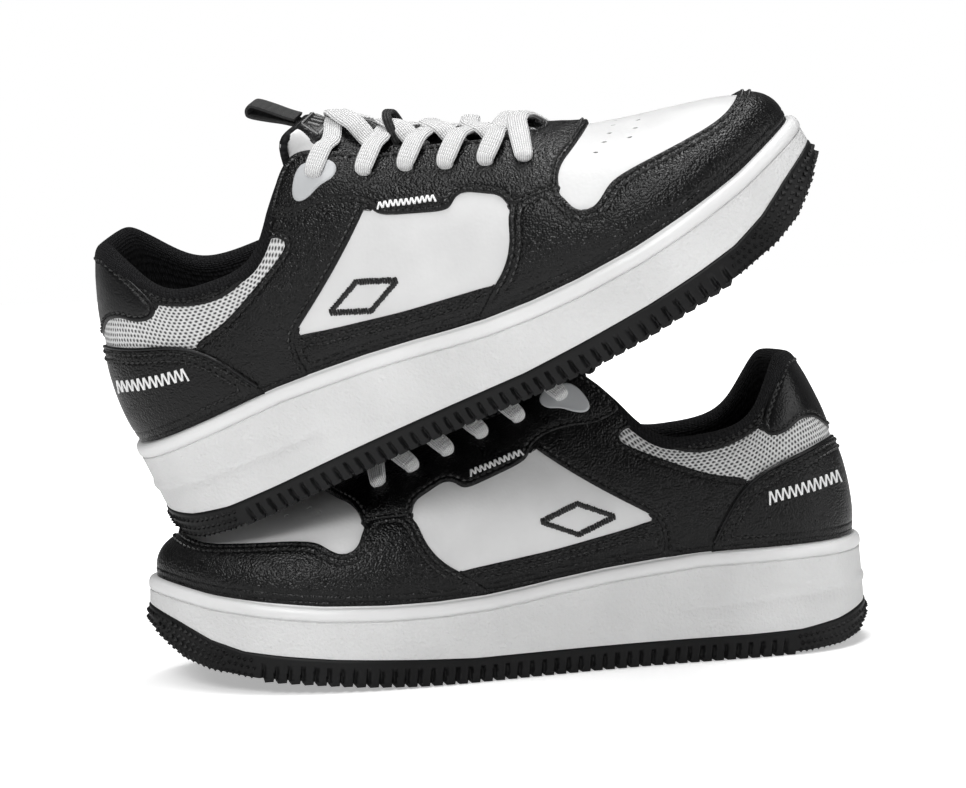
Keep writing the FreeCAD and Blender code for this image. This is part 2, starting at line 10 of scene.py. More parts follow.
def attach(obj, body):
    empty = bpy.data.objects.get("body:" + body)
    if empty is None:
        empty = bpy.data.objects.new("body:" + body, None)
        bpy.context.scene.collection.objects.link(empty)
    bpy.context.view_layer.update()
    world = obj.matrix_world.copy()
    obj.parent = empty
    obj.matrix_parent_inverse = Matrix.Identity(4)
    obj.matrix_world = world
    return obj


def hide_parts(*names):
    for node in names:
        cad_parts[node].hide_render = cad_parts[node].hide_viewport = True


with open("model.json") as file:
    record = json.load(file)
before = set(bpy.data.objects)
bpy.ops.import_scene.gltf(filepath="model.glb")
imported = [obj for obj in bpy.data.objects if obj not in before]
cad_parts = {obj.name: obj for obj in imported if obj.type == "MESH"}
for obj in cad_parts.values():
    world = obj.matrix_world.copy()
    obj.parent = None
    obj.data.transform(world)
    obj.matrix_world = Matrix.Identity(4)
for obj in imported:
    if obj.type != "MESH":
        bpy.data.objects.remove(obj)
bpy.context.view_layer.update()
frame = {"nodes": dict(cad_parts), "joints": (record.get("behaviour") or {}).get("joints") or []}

# Every shape is drawn once as a left shoe in its own frame, in millimetres: x from the heel to the toe,
# y towards the outer side, z up. place() then puts it on both shoes, mirrored for the right one.

# ------------------------------------------------------------------ where the two shoes are
JOINTS = {j["name"]: j for j in frame["joints"]}
TURN = np.array(Euler([math.radians(a) for a in (14.0, -23.7, -24.2)], "XYZ").to_matrix())
ROOT = np.array([0.218, 0.0, 0.077])
LEFT_SHIFT = np.array(JOINTS["left_tongue_tilt"]["pos_m"]) + ROOT * (1, 1, -1)
RIGHT_SHIFT = np.array(JOINTS["right_tongue_tilt"]["pos_m"]) - TURN @ ROOT


def to_row(shoe, points):
    """Points of a shoe's own frame in the pair's frame, in metres."""
    p = np.asarray(points, float).reshape(-1, 3) / 1000
    if shoe == "left":
        return p * (-1, -1, 1) + LEFT_SHIFT
    return (p * (1, -1, 1)) @ TURN.T + RIGHT_SHIFT


# ------------------------------------------------------------------ the upper's surface
# from heel to toe: the sole's x and its half widths outside and inside, then three points up the outer side
STATIONS = [
    ((0.3, 0, 0), (4.8, 0, 72), (16, 0, 97), (29, 0, 120.5)),
    ((5, 17, 16), (8, 15.5, 71), (20, 12, 96), (32, 9.5, 120.5)),
    ((15.5, 29.5, 27), (17.5, 26, 69), (29, 22, 94), (38, 18, 118.5)),
    ((31, 37, 34.5), (32, 33.5, 66), (42, 28, 90), (46, 23, 108.5)),
    ((52, 40.3, 38), (52, 36, 60), (56, 32, 82), (57, 27.5, 95.5)),
    ((75, 41.3, 38.8), (75, 36.5, 57), (77, 34, 77), (77, 30.5, 90.4)),
    ((98, 42, 38.6), (98, 37, 57), (97, 34.5, 79), (97, 29.5, 93.5)),
    ((120, 43.8, 39), (120, 38.8, 61), (117, 32.5, 91), (115, 23, 112)),
    ((140, 46.3, 40.6), (140, 41, 62), (134, 31.5, 97), (131, 18.5, 119.5)),
    ((162, 49.6, 44), (162, 45, 57), (157, 33.5, 90), (152, 17.3, 107.5)),
    ((186, 53, 48.5), (186.5, 49.3, 53), (179, 36, 82), (174, 16.2, 99.5)),
    ((212, 54.8, 52), (214, 51.5, 53), (204, 37, 74), (194, 14.8, 91.5)),
    ((238, 53.2, 52.8), (240, 50, 53), (222, 32, 71), (206, 11.5, 86.5)),
    ((262, 46.3, 46.5), (265, 43.5, 56), (236, 25, 67.5), (211, 7.5, 84.8)),
    ((283.5, 32, 35), (286, 31, 62), (249, 14.5, 64.5), (213, 4, 84)),
    ((299, 14.5, 18.5), (297.5, 14.5, 67), (258, 6.5, 63.5), (213.8, 1.9, 83.7)),
    ((304, 0, 0), (301.5, 0, 68.5), (261, 0, 63), (214, 0, 83.6)),
]
LAST = len(STATIONS) - 1
FULL = 2 * LAST
# side-view profiles (x, z): the midsole's top edge, where rubber colours meet, and the underside
FEATHER = [(-5, 44.5), (40, 44), (80, 43.5), (100, 41.6), (120, 39.6), (140, 37), (155, 34.8), (170, 33),
           (190, 32), (210, 32), (235, 33), (260, 35.5), (280, 38), (299, 42), (312, 45)]
SPLIT = [(-5, 18), (8, 15.5), (20, 12.5), (38, 10), (60, 9.6), (175, 9.6), (200, 11), (230, 13), (250, 15),
         (267, 17), (280, 21), (292, 27), (301, 31), (312, 36)]
GROUND = [(-6, 18), (3, 9.5), (10, 4), (20, 1.2), (36, 0), (60, 0), (180, 0), (200, 0.4), (220, 1.6),
          (240, 3.5), (262, 5.5), (280, 8.5), (290, 12), (299, 19), (312, 34)]
TAPER, LIP = 2.6, 3.0
SPINE = (40.0, 250.0)


def height_at(profile, x):
    xs, zs = zip(*profile)
    return np.interp(x, xs, zs)


def inset(x, y, distance):
    """Plan points moved towards the spine of the shoe."""
    spine = np.clip(x, *SPINE)
    reach = np.maximum(np.hypot(x - spine, y), 1e-6)
    scale = np.maximum(reach - distance, 0) / reach
    return spine + (x - spine) * scale, y * scale


def spline_through(points):
    """Closed C2 cubic through the points, one parameter unit apart."""
    p = np.array(points, float)
    eye = np.eye(len(p))
    system = 4 * eye + np.roll(eye, 1, 0) + np.roll(eye, -1, 0)
    bend = np.linalg.solve(system, 6 * (np.roll(p, -1, 0) - 2 * p + np.roll(p, 1, 0)))
    return p, bend


def spline_at(curve, u):
    """Points of a closed spline at the parameters u."""
    p, bend = curve
    u = np.asarray(u, float)
    i = np.floor(u).astype(int)
    t = (u - i)[..., None]
    i, j, s = i % len(p), (i + 1) % len(p), 1 - t
    return p[i] * s + p[j] * t + (bend[i] * (s ** 3 - s) + bend[j] * (t ** 3 - t)) / 6


def section_rows():
    """The four rows of control points round the shoe: feather edge, two middles, top edge."""
    rows = [[], [], [], []]
    outer, inner = range(LAST + 1), range(LAST - 1, 0, -1)
    for index, side in [(i, 1) for i in outer] + [(i, -1) for i in inner]:
        (px, y_out, y_in), a, b, t = STATIONS[index]
        fx, fy = inset(px, y_out, TAPER + LIP)
        narrow = 1.0
        if side < 0:
            narrow = inset(px, y_in, TAPER + LIP)[1] / fy
        rows[0].append((fx, side * fy * narrow, height_at(FEATHER, fx)))
        rows[1].append((a[0], side * a[1] * narrow, a[2]))
        rows[2].append((b[0], side * b[1] * (1 + narrow) / 2, b[2]))
        rows[3].append((t[0], side * t[1], t[2]))
    return rows


RINGS = [spline_through(row) for row in section_rows()]
SOLE_RING = spline_through([(p[0], p[1], 0) for p, _, _, _ in STATIONS]
                           + [(p[0], -p[2], 0) for p, _, _, _ in STATIONS[-2:0:-1]])


def upper(u, v):
    """The upper's surface: u runs round the shoe, v from the sole to the top edge."""
    f, a, b, t = [spline_at(ring, u) for ring in RINGS]
    v = np.asarray(v, float)[..., None]
    w = 1 - v
    return f * w ** 3 + a * (3 * w * w * v) + b * (3 * w * v * v) + t * v ** 3


def inward(u, v):
    """Unit normals into the shoe."""
    step = 0.02
    n = np.cross(upper(u + step, v) - upper(u - step, v), upper(u, v + step) - upper(u, v - step))
    return n / np.linalg.norm(n, axis=-1, keepdims=True)


def skin(u, v, depth):
    """Points at a depth under the surface, negative outside it."""
    u, v, depth = (a.astype(float) for a in np.broadcast_arrays(u, v, depth))
    return upper(u, v) + inward(u, v) * depth[..., None]


def across_shoe(u, side):
    """The parameter of the same place on the outer (1) or the inner (-1) side."""
    return u if side > 0 else FULL - u


# ------------------------------------------------------------------ panel outlines in the side view (x, z)
HEEL_SEAM = [(76, 25), (76, 43), (72, 50.5), (66, 61), (60, 68.5), (53, 74), (45, 77.5), (35, 80.5), (25, 84),
             (18, 86), (-10, 86)]
TAB = [(-10, 86.3), (12, 86.3), (20, 92.5), (25, 95.5), (32, 95), (36, 92), (41, 89.5), (46, 89), (49.5, 91),
       (50, 95), (46, 104), (41, 113), (37, 119), (34, 140), (-10, 140)]
MESH_FOOT = [(57, 73.5), (70, 75), (80, 78), (90, 82), (100, 86), (110.5, 91), (110, 93.5), (105, 97)]
MESH_HEAD = [(98, 91.5), (90, 87), (80, 84.2), (70, 84.8), (60, 88), (51, 92.5)]
SADDLE_FRONT = [(95, 25), (95, 42), (94, 50), (95.5, 57), (98, 60), (104, 63.5), (112, 68), (122, 74),
                (132, 80.5), (141, 87), (146, 91)]
SADDLE_TOP = [(140, 95), (130, 97.5), (120, 97.5), (110, 101.5), (104, 106)]
SADDLE = ([(76.3, 25), (76.3, 43), (72.3, 50.7), (66.3, 61.2), (60.2, 68.8)] + MESH_FOOT + MESH_HEAD
          + [(50.4, 95), (46.4, 104), (41.4, 113), (40, 128), (100, 128)]
          + SADDLE_TOP[::-1] + SADDLE_FRONT[::-1])
WINDOW_FOOT = [(97, 59), (110, 55.5), (125, 52.5), (140, 49.5), (155, 47.5), (170, 45.5), (178, 44.5)]
FOXING = ([(95.3, 20), (95.3, 42), (94.3, 50), (95.8, 56.8)] + WINDOW_FOOT
          + [(177.6, 43.2), (169.7, 37.3), (164.7, 33.7), (164.7, 20)])
GUARD = [(165, 20), (165, 33.5), (170, 37), (178, 43), (186, 48), (192, 55), (195, 63), (196.5, 66),
         (210, 65.5), (217, 64), (219, 58), (221.5, 55), (225, 53.5), (229, 54.5), (233, 57), (236, 58.8),
         (245, 59.3), (260, 58.6), (278, 58), (286, 60), (289.5, 64), (290.5, 90), (330, 90), (330, 20)]
STAY_FOOT = [(147, 91), (148, 87), (151.5, 84.5), (173.5, 76.2), (176, 76.5), (180, 79.5), (184, 79),
             (190, 75.5), (195, 73), (196.8, 70), (196.8, 66.4)]
STAY = STAY_FOOT + [(210, 65.9), (217.3, 64.4), (218, 69), (221, 72.5), (226, 74.5), (231, 77), (234, 80),
                    (238, 95), (108, 140), (105, 106), (110, 101.8), (120, 97.8), (130, 97.8), (140, 95.3)]
HEEL_GUARD = HEEL_SEAM + [(-10, 20)]
COLLAR = [(-10, 80.3), (20, 78.3), (40, 73.3), (50, 70.3), (58.3, 66.3), (72, 68), (85, 73), (100, 79),
          (116, 88), (112, 96), (106, 130), (-10, 130)]
QUARTER = [(58.3, 20), (58.3, 66), (72, 67.7), (85, 72.7), (100, 78.7), (116.3, 87.8), (112.3, 96),
           (106.3, 130), (140, 130), (201, 110), (203, 64), (199, 20)]
VAMP = [(199.3, 20), (203.3, 64), (201.3, 110), (330, 110), (330, 20)]
EYELETS = [(133, 109.5), (150.5, 101.5), (166, 95.5), (180.5, 89.5), (195, 83.5), (208, 78)]
PATCH = [(120, 105), (124, 112), (129, 115.5), (134, 113.5), (139, 112.5), (142, 108), (139, 104.5),
         (133, 105), (128, 103), (123, 102.5)]
FRONT, REAR = (5.5, FULL - 5.5), (-8.5, 8.5)
# about how many millimetres one unit of u and of v is, and the panels' grid steps
U_MM, V_MM = 20.0, 76.0
U_STEP, V_STEP = 0.05, 1 / 78


def rounded(outline, passes=2, reach=4.0):
    """The outline with its corners cut back, by at most a few millimetres."""
    p = np.array(outline, float)
    for k in range(passes):
        after = np.roll(p, -1, 0)
        length = np.linalg.norm(after - p, axis=1, keepdims=True)
        share = np.minimum(0.25, reach / 2 ** k / np.maximum(length, 1e-6))
        p = np.stack([p + (after - p) * share, after + (p - after) * share], 1).reshape(-1, 2)
    return p


def side_distance(x, z, outline):
    """Signed distance to a closed outline in the side view, positive inside."""
    best, inside = np.full(x.shape, 1e9), np.zeros(x.shape, bool)
    for (x0, z0), (x1, z1) in zip(outline, np.roll(outline, -1, 0)):
        dx, dz = x1 - x0, z1 - z0
        t = np.clip(((x - x0) * dx + (z - z0) * dz) / max(dx * dx + dz * dz, 1e-9), 0, 1)
        best = np.minimum(best, np.hypot(x - x0 - t * dx, z - z0 - t * dz))
        if z0 != z1:
            inside ^= ((z0 > z) != (z1 > z)) & (x < x0 + (z - z0) * dx / dz)
    return np.where(inside, best, -best)


def contours(field, level):
    """Closed loops, in grid steps, where the field passes the level."""
    g = field - level
    hit = g > 0
    count = hit[:-1, :-1].astype(int) + hit[1:, :-1] + hit[:-1, 1:] + hit[1:, 1:]
    links = {}
    for i, j in zip(*np.nonzero(count % 4)):
        ring = [(i, j), (i + 1, j), (i + 1, j + 1), (i, j + 1)]
        marks = []
        for a, b in zip(ring, ring[1:] + ring[:1]):
            if hit[a] != hit[b]:
                marks.append(((min(a, b), max(a, b)), hit[a]))
        for k, (key, leaving) in enumerate(marks):
            if leaving:
                links[key] = marks[(k + 1) % len(marks)][0]
    loops = []
    while links:
        start = next(iter(links))
        key, loop = start, []
        while key in links:
            (a, b), following = key, links.pop(key)
            t = g[a] / (g[a] - g[b])
            loop.append((a[0] + (b[0] - a[0]) * t, a[1] + (b[1] - a[1]) * t))
            key = following
        if key == start and len(loop) > 5:
            loops.append(np.array(loop))
    return loops


def sample_grid(field, points):
    """Field values at fractional grid places."""
    i = np.clip(np.floor(points[:, 0]).astype(int), 0, field.shape[0] - 2)
    j = np.clip(np.floor(points[:, 1]).astype(int), 0, field.shape[1] - 2)
    s, t = points[:, 0] - i, points[:, 1] - j
    return ((field[i, j] * (1 - s) + field[i + 1, j] * s) * (1 - t)
            + (field[i, j + 1] * (1 - s) + field[i + 1, j + 1] * s) * t)


def even_loop(loop, points, spacing, smooth=2):
    """The loop resampled to an even spacing along its points in space."""
    for _ in range(smooth):
        loop = (np.roll(loop, 1, 0) + 2 * loop + np.roll(loop, -1, 0)) / 4
        points = (np.roll(points, 1, 0) + 2 * points + np.roll(points, -1, 0)) / 4
    closed, chain = np.vstack([loop, loop[:1]]), np.vstack([points, points[:1]])
    reach = np.concatenate([[0], np.cumsum(np.linalg.norm(np.diff(chain, axis=0), axis=1))])
    n = max(int(round(reach[-1] / spacing)), 6)
    at = np.arange(n) * reach[-1] / n
    return np.stack([np.interp(at, reach, closed[:, k]) for k in (0, 1)], 1)


class Panel:
    """A piece of the upper: a side-view outline gives its border, the distance in from it its height."""

    def __init__(self, outline, u_range, v_range=(0.004, 1.0), under=(), holes=(), levels=(0.4, 1.2),
                 step=2.0):
        pad = 3
        nu = int(round((u_range[1] - u_range[0]) / U_STEP)) + 1 + 2 * pad
        nv = int(round((v_range[1] - v_range[0]) / V_STEP)) + 1 + 2 * pad
        self.u0 = u_range[0] - pad * U_STEP
        self.v0 = v_range[0] - pad * V_STEP
        u = self.u0 + U_STEP * np.arange(nu)[:, None] + np.zeros((1, nv))
        v = self.v0 + V_STEP * np.arange(nv)[None, :] + np.zeros((nu, 1))
        p = upper(u, v)
        own = side_distance(p[..., 0], p[..., 2], rounded(outline))
        for other, grow in under:
            cover = side_distance(p[..., 0], p[..., 2], rounded(other))
            own = np.maximum(own, np.minimum(own + grow, cover + 0.9))
        edge = np.minimum((u - u_range[0]) * U_MM, (u_range[1] - u) * U_MM)
        edge = np.minimum(edge, np.minimum((v - v_range[0]) * V_MM, (v_range[1] - v) * V_MM))
        own = np.minimum(own, edge)
        own[[0, -1], :] = -1
        own[:, [0, -1]] = -1
        keep = np.argwhere(own > 0)
        (i0, j0), (i1, j1) = keep.min(0) - 2, keep.max(0) + 3
        i0, j0 = max(i0, 0), max(j0, 0)
        self.u0 += i0 * U_STEP
        self.v0 += j0 * V_STEP
        own, p = own[i0:i1, j0:j1], p[i0:i1, j0:j1]
        self.rim = [even_loop(loop, self.points(loop), 1.3) for loop in contours(own, 0)]
        fine = np.vstack([self.points(even_loop(loop, self.points(loop), 0.25, 0)) for loop in self.rim])
        tree = KDTree(len(fine))
        for k, q in enumerate(fine):
            tree.insert(q, k)
        tree.balance()
        near = np.full(own.shape, 30.0)
        for i, j in np.argwhere(np.abs(own) < 14):
            near[i, j] = tree.find(p[i, j])[2]
        self.distance = np.where(own > 0, near, -near)
        self.holes = holes
        self.build(levels, step)

    def uv(self, places):
        """Surface parameters of fractional grid places."""
        return self.u0 + U_STEP * places[:, 0], self.v0 + V_STEP * places[:, 1]

    def points(self, places):
        return upper(*self.uv(places))

    def loops_at(self, level, spacing=1.3):
        """Loops at a distance in from the border."""
        return [even_loop(loop, self.points(loop), spacing, 3) for loop in contours(self.distance, level)
                if len(loop) > 8]

    def hole_loop(self, u, v, radius, count=12):
        """A round hole's rim, in grid places."""
        a = np.arange(count) * 2 * math.pi / count
        along = np.linalg.norm(upper(u + 0.02, v) - upper(u - 0.02, v)) / 0.04
        up = np.linalg.norm(upper(u, v + 0.02) - upper(u, v - 0.02)) / 0.04
        return np.stack([(u + radius / along * np.cos(a) - self.u0) / U_STEP,
                         (v + radius / up * np.sin(a) - self.v0) / V_STEP], 1)

    def build(self, levels, step):
        """Triangles between the border, the loops at the levels, the holes and a coarse inner grid."""
        scale = np.array([U_STEP * U_MM, V_STEP * V_MM])
        chains, depth = list(self.rim), [0.0] * len(self.rim)
        for level in levels:
            for loop in self.loops_at(level, 1.3 + 0.15 * level):
                chains.append(loop)
                depth.append(level)
        holes = [self.hole_loop(*h) for h in self.holes]
        chains += holes
        depth += [9.0] * len(holes)
        coords, edges, known = [], [], []
        for chain, level in zip(chains, depth):
            first = len(coords)
            coords += [tuple(c) for c in chain * scale]
            known += [level] * len(chain)
            edges += [(first + k, first + (k + 1) % len(chain)) for k in range(len(chain))]
        inside = np.argwhere(self.distance > levels[-1] + 0.9)
        stride = max(int(round(step / (U_STEP * U_MM))), 1)
        row, column = inside[:, 0], inside[:, 1]
        inside = inside[(row % stride == 0) & ((column + row // stride % 2) % stride == 0)]
        centres = [loop.mean(0) for loop in holes]
        for q in inside:
            if all(np.hypot(*((q - c) * scale)) > h[2] + 0.8 for c, h in zip(centres, self.holes)):
                coords.append(tuple(q * scale))
                known.append(-1.0)
        out, _, faces, sources, _, _ = delaunay_2d_cdt([Vector(c) for c in coords], edges, [], 1, 1e-4, True)
        flat = np.array([tuple(q) for q in out]) / scale
        measured = sample_grid(self.distance, flat)
        for k, ids in enumerate(sources):
            if ids and known[ids[0]] >= 0:
                measured[k] = known[ids[0]]
        faces = np.array([f for f in faces], int)
        middle = flat[faces].mean(1)
        keep = sample_grid(self.distance, middle) > -0.4
        for c, h in zip(centres, self.holes):
            keep &= np.hypot(*((middle - c) * scale).T) > h[2] * 0.97
        self.faces = faces[keep]
        self.flat, self.inner = flat, np.maximum(measured, 0)

    def mesh(self, top, bottom):
        """Closed mesh: the top at depth top(inner distance), its back at one depth."""
        u, v = self.uv(self.flat)
        n = len(self.flat)
        verts = np.vstack([skin(u, v, top(self.inner)), skin(u, v, bottom)])
        tris = self.faces
        a, b, c = (self.flat[tris[:, k]] for k in range(3))
        turn = (b[:, 0] - a[:, 0]) * (c[:, 1] - a[:, 1]) - (b[:, 1] - a[:, 1]) * (c[:, 0] - a[:, 0])
        tris = np.where(turn[:, None] > 0, tris[:, ::-1], tris)
        directed = {(int(t[k]), int(t[(k + 1) % 3])) for t in tris for k in range(3)}
        faces = [tuple(t) for t in tris] + [tuple(n + t[::-1]) for t in tris]
        faces += [(j, i, i + n, j + n) for i, j in directed if (j, i) not in directed]
        uv = np.stack([u * U_MM, v * V_MM], 1)
        return verts, faces, np.vstack([uv, uv])


def layer_top(base, thick, roll=1.0, puff=0.4, grooves=()):
    """Depth below the upper's outer face, by distance in from the panel's border."""
    def top(d):
        edge = np.sqrt(np.maximum(1 - (1 - np.minimum(d / roll, 1)) ** 2, 0))
        rise = thick * edge + puff * np.clip((d - 2) / 8, 0, 1) ** 0.7
        for at in grooves:
            rise = rise - 0.3 * np.exp(-((d - at) / 0.4) ** 2)
        return base - rise
    return top


# ------------------------------------------------------------------ meshes, sweeps and threads
class Parts:
    """Several meshes gathered into one."""

    def __init__(self):
        self.verts, self.faces, self.uvs, self.count = [], [], [], 0

    def add(self, verts, faces, uv=None):
        verts = np.asarray(verts, float).reshape(-1, 3)
        self.verts.append(verts)
        self.faces += [tuple(int(i) + self.count for i in f) for f in faces]
        self.uvs.append(np.zeros((len(verts), 2)) if uv is None else np.asarray(uv, float))
        self.count += len(verts)

    def get(self):
        return np.vstack(self.verts), self.faces, np.vstack(self.uvs)


def catmull(points, per=8):
    """A smooth path through the points."""
    p = np.array(points, float)
    p = np.vstack([2 * p[0] - p[1], p, 2 * p[-1] - p[-2]])
    out = []
    for k in range(1, len(p) - 2):
        for t in np.arange(per) / per:
            a, b, c, d = p[k - 1:k + 3]
            out.append(0.5 * (2 * b + (c - a) * t + (2 * a - 5 * b + 4 * c - d) * t * t
                              + (3 * b - a - 3 * c + d) * t ** 3))
    out.append(p[-2])
    return np.array(out)


def sweep(path, across, profile, scale=None):
    """A closed section carried along a path. across is the direction of the section's first axis."""
    path = np.asarray(path, float)
    n, m = len(path), len(profile)
    along = np.gradient(path, axis=0)
    along /= np.linalg.norm(along, axis=1, keepdims=True)
    across = np.broadcast_to(np.asarray(across, float), path.shape)
    side = across - along * np.sum(across * along, axis=1, keepdims=True)
    side /= np.linalg.norm(side, axis=1, keepdims=True)
    normal = np.cross(side, along)
    scale = np.ones((n, 2)) if scale is None else np.asarray(scale, float)
    prof = np.asarray(profile, float)
    verts = (path[:, None] + side[:, None] * (prof[None, :, :1] * scale[:, None, :1])
             + normal[:, None] * (prof[None, :, 1:] * scale[:, None, 1:])).reshape(-1, 3)
    length = np.concatenate([[0], np.cumsum(np.linalg.norm(np.diff(path, axis=0), axis=1))])
    uv = np.stack(np.broadcast_arrays(prof[:, 0], length[:, None]), -1).reshape(-1, 2)
    faces = []
    for i in range(n - 1):
        for j in range(m):
            a, b = i * m + j, i * m + (j + 1) % m
            faces.append((a, a + m, b + m, b))
    faces += [tuple(range(m)), tuple(range((n - 1) * m, n * m))[::-1]]
    return verts, faces, uv


def oval(width, thick, count=14, flat=2.6):
    """A flat section with rounded sides."""
    a = np.arange(count) * 2 * math.pi / count
    axes = ((np.cos(a), width), (np.sin(a), thick))
    return np.stack([np.sign(c) * np.abs(c) ** (2 / flat) * size / 2 for c, size in axes], 1)


def thread(parts, path, radius, sides=6):
    """A thin round thread along a path."""
    path = np.asarray(path, float)
    along = np.gradient(path, axis=0)
    reference = np.array([0.31, 0.93, 0.17])
    if np.max(np.abs((along / np.linalg.norm(along, axis=1, keepdims=True)) @ reference)) > 0.97:
        reference = np.array([0.93, 0.1, 0.31])
    parts.add(*sweep(path, reference, oval(2 * radius, 2 * radius, sides, 2)))


STITCH_PITCH, STITCH_LENGTH, STITCH_RADIUS = 2.9, 2.1, 0.56


def visible_runs(points, normals):
    """Splits a loop into its stretches of finite points."""
    runs, run = [], []
    for q, n in zip(points, normals):
        if np.isfinite(q[0]):
            run.append((q, n))
        elif run:
            runs.append(run)
            run = []
    if run and runs and np.isfinite(points[0, 0]):
        runs[0] = run + runs[0]
    elif run:
        runs.append(run)
    return [(np.array([r[0] for r in run]), np.array([r[1] for r in run])) for run in runs if len(run) > 5]


def panel_stitches(parts, panel, level, top, avoid=(), v_min=0.07):
    """Stitches round a panel at a distance in from its border, none near the sole or under other panels."""
    section = oval(2 * STITCH_RADIUS, 2 * STITCH_RADIUS, 6, 2)
    for loop in panel.loops_at(level, 0.7):
        u, v = panel.uv(loop)
        depth = float(top(np.array([level]))[0])
        points, normals = skin(u, v, depth), -inward(u, v)
        points[v < v_min] = np.nan
        for other in avoid:
            cover = side_distance(points[:, 0], points[:, 2], rounded(other))
            points[cover > -0.3] = np.nan
        for q, n in visible_runs(points, normals):
            reach = np.concatenate([[0], np.cumsum(np.linalg.norm(np.diff(q, axis=0), axis=1))])
            for k in range(int(reach[-1] // STITCH_PITCH)):
                at = k * STITCH_PITCH + 0.3 + STITCH_LENGTH * np.array([0, 0.5, 1])
                s = np.stack([np.interp(at, reach, q[:, c]) for c in range(3)], 1)
                out = np.stack([np.interp(at[1], reach, n[:, c]) for c in range(3)])
                s = s + out * np.array([-0.1, 0.55, -0.1])[:, None]
                parts.add(*sweep(s, np.cross(s[2] - s[0], out), section, [(0.5, 0.5), (1, 1), (0.5, 0.5)]))


def grid_faces(rows, columns, wrap_columns=False):
    """Quads of a grid of points, closed round its columns if asked."""
    faces = []
    for i in range(rows - 1):
        for j in range(columns if wrap_columns else columns - 1):
            a, b = i * columns + j, i * columns + (j + 1) % columns
            faces.append((a, b, b + columns, a + columns))
    return faces


def end_faces(rows, columns):
    """The two caps of a tube made of rings of points."""
    return [tuple(range(columns))[::-1], tuple(range((rows - 1) * columns, rows * columns))]


MADE = {}


def place(name, made, body, material, replaces=(), flip=False, shoes=("left", "right")):
    """Puts a mesh drawn in the shoe's own frame on both shoes."""
    verts, faces, uv = made
    for shoe in shoes:
        mirror = (shoe == "right") != flip
        rows = [tuple(int(i) for i in (f[::-1] if mirror else f)) for f in faces]
        mesh = bpy.data.meshes.new(shoe + "." + name)
        mesh.from_pydata([tuple(p) for p in to_row(shoe, verts)], [], rows)
        mesh.validate()
        mesh.materials.append(material)
        layer = mesh.uv_layers.new(name="flat")
        index = np.zeros(len(mesh.loops), int)
        mesh.loops.foreach_get("vertex_index", index)
        layer.data.foreach_set("uv", (np.asarray(uv)[index] / 1000).astype(np.float32).ravel())
        mesh.shade_smooth()
        mesh.set_sharp_from_angle(angle=math.radians(42))
        obj = bpy.data.objects.new(shoe + "." + name, mesh)
        bpy.context.scene.collection.objects.link(obj)
        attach(obj, shoe + "_" + body)
        nodes = [shoe + "_" + n for n in replaces]
        if nodes:
            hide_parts(*nodes)
        MADE[shoe, name] = obj


# ------------------------------------------------------------------ materials
class Nodes:
    """A small helper for node trees."""

    def __init__(self, name):
        self.material = bpy.data.materials.new(name)
        self.material.use_nodes = True
        self.tree = self.material.node_tree
        self.shader = self.tree.nodes["Principled BSDF"]

    def node(self, kind, **values):
        made = self.tree.nodes.new(kind)
        for key, value in values.items():
            setattr(made, key, value)
        return made

    def link(self, a, b):
        self.tree.links.new(a, b)

    def math(self, operation, a, b=None):
        made = self.node("ShaderNodeMath", operation=operation)
        for k, value in enumerate((a, b)):
            if value is None:
                continue
            if isinstance(value, (int, float)):
                made.inputs[k].default_value = value
            else:
                self.link(value, made.inputs[k])
        return made.outputs[0]

    def coordinates(self, which="Object"):
        return self.node("ShaderNodeTexCoord").outputs[which]

    def mapped(self, source, kind, value):
        """Coordinates scaled or moved by a value."""
        made = self.node("ShaderNodeMapping")
        made.inputs[kind].default_value = value
        self.link(source, made.inputs["Vector"])
        return made.outputs[0]

    def noise(self, scale, detail=4):
        made = self.node("ShaderNodeTexNoise")
        made.inputs["Scale"].default_value = scale
        made.inputs["Detail"].default_value = detail
        self.link(self.coordinates(), made.inputs["Vector"])
        return made.outputs[0]

    def cells(self, scale, feature="F1", randomness=1.0, coordinates=None):
        made = self.node("ShaderNodeTexVoronoi", feature=feature)
        made.inputs["Scale"].default_value = scale
        made.inputs["Randomness"].default_value = randomness
        self.link(coordinates or self.coordinates(), made.inputs["Vector"])
        return made.outputs["Distance"]

    def ramp(self, value, stops):
        made = self.node("ShaderNodeValToRGB")
        elements = made.color_ramp.elements
        while len(elements) < len(stops):
            elements.new(0.5)
        for element, (at, colour) in zip(elements, stops):
            element.position = at
            element.color = (*colour, 1) if len(colour) == 3 else colour
        self.link(value, made.inputs[0])
        return made.outputs[0]

    def bump(self, height, strength, distance):
        made = self.node("ShaderNodeBump")
        made.inputs["Strength"].default_value = strength
        made.inputs["Distance"].default_value = distance
        self.link(height, made.inputs["Height"])
        return made.outputs[0]

    def finish(self, colour, rough, normal=None, **sockets):
        """Joins the parts to the shader and returns the material."""
        self.link(colour, self.shader.inputs["Base Color"])
        if isinstance(rough, (int, float)):
            self.shader.inputs["Roughness"].default_value = rough
        else:
            self.link(rough, self.shader.inputs["Roughness"])
        if normal is not None:
            self.link(normal, self.shader.inputs["Normal"])
        for key, value in sockets.items():
            self.shader.inputs[key.replace("_", " ")].default_value = value
        return self.material


def grey(value):
    return (value, value, value)


def leather(name, dark, light, rough, pebble, depth, strength, specular=0.4):
    """Pebbled leather with fine creases and an uneven shine."""
    n = Nodes(name)
    grain = n.cells(pebble, "SMOOTH_F1")
    crease = n.noise(380, 4)
    height = n.math("SUBTRACT", n.math("MULTIPLY", crease, 0.6), n.math("MULTIPLY", grain, 1.0))
    tone = n.ramp(n.noise(45, 5), [(0.3, dark), (0.7, light)])
    shine = n.ramp(n.noise(140, 3), [(0.3, grey(rough - 0.05)), (0.7, grey(rough + 0.08))])
    return n.finish(tone, shine, n.bump(height, strength, depth), Specular_IOR_Level=specular)


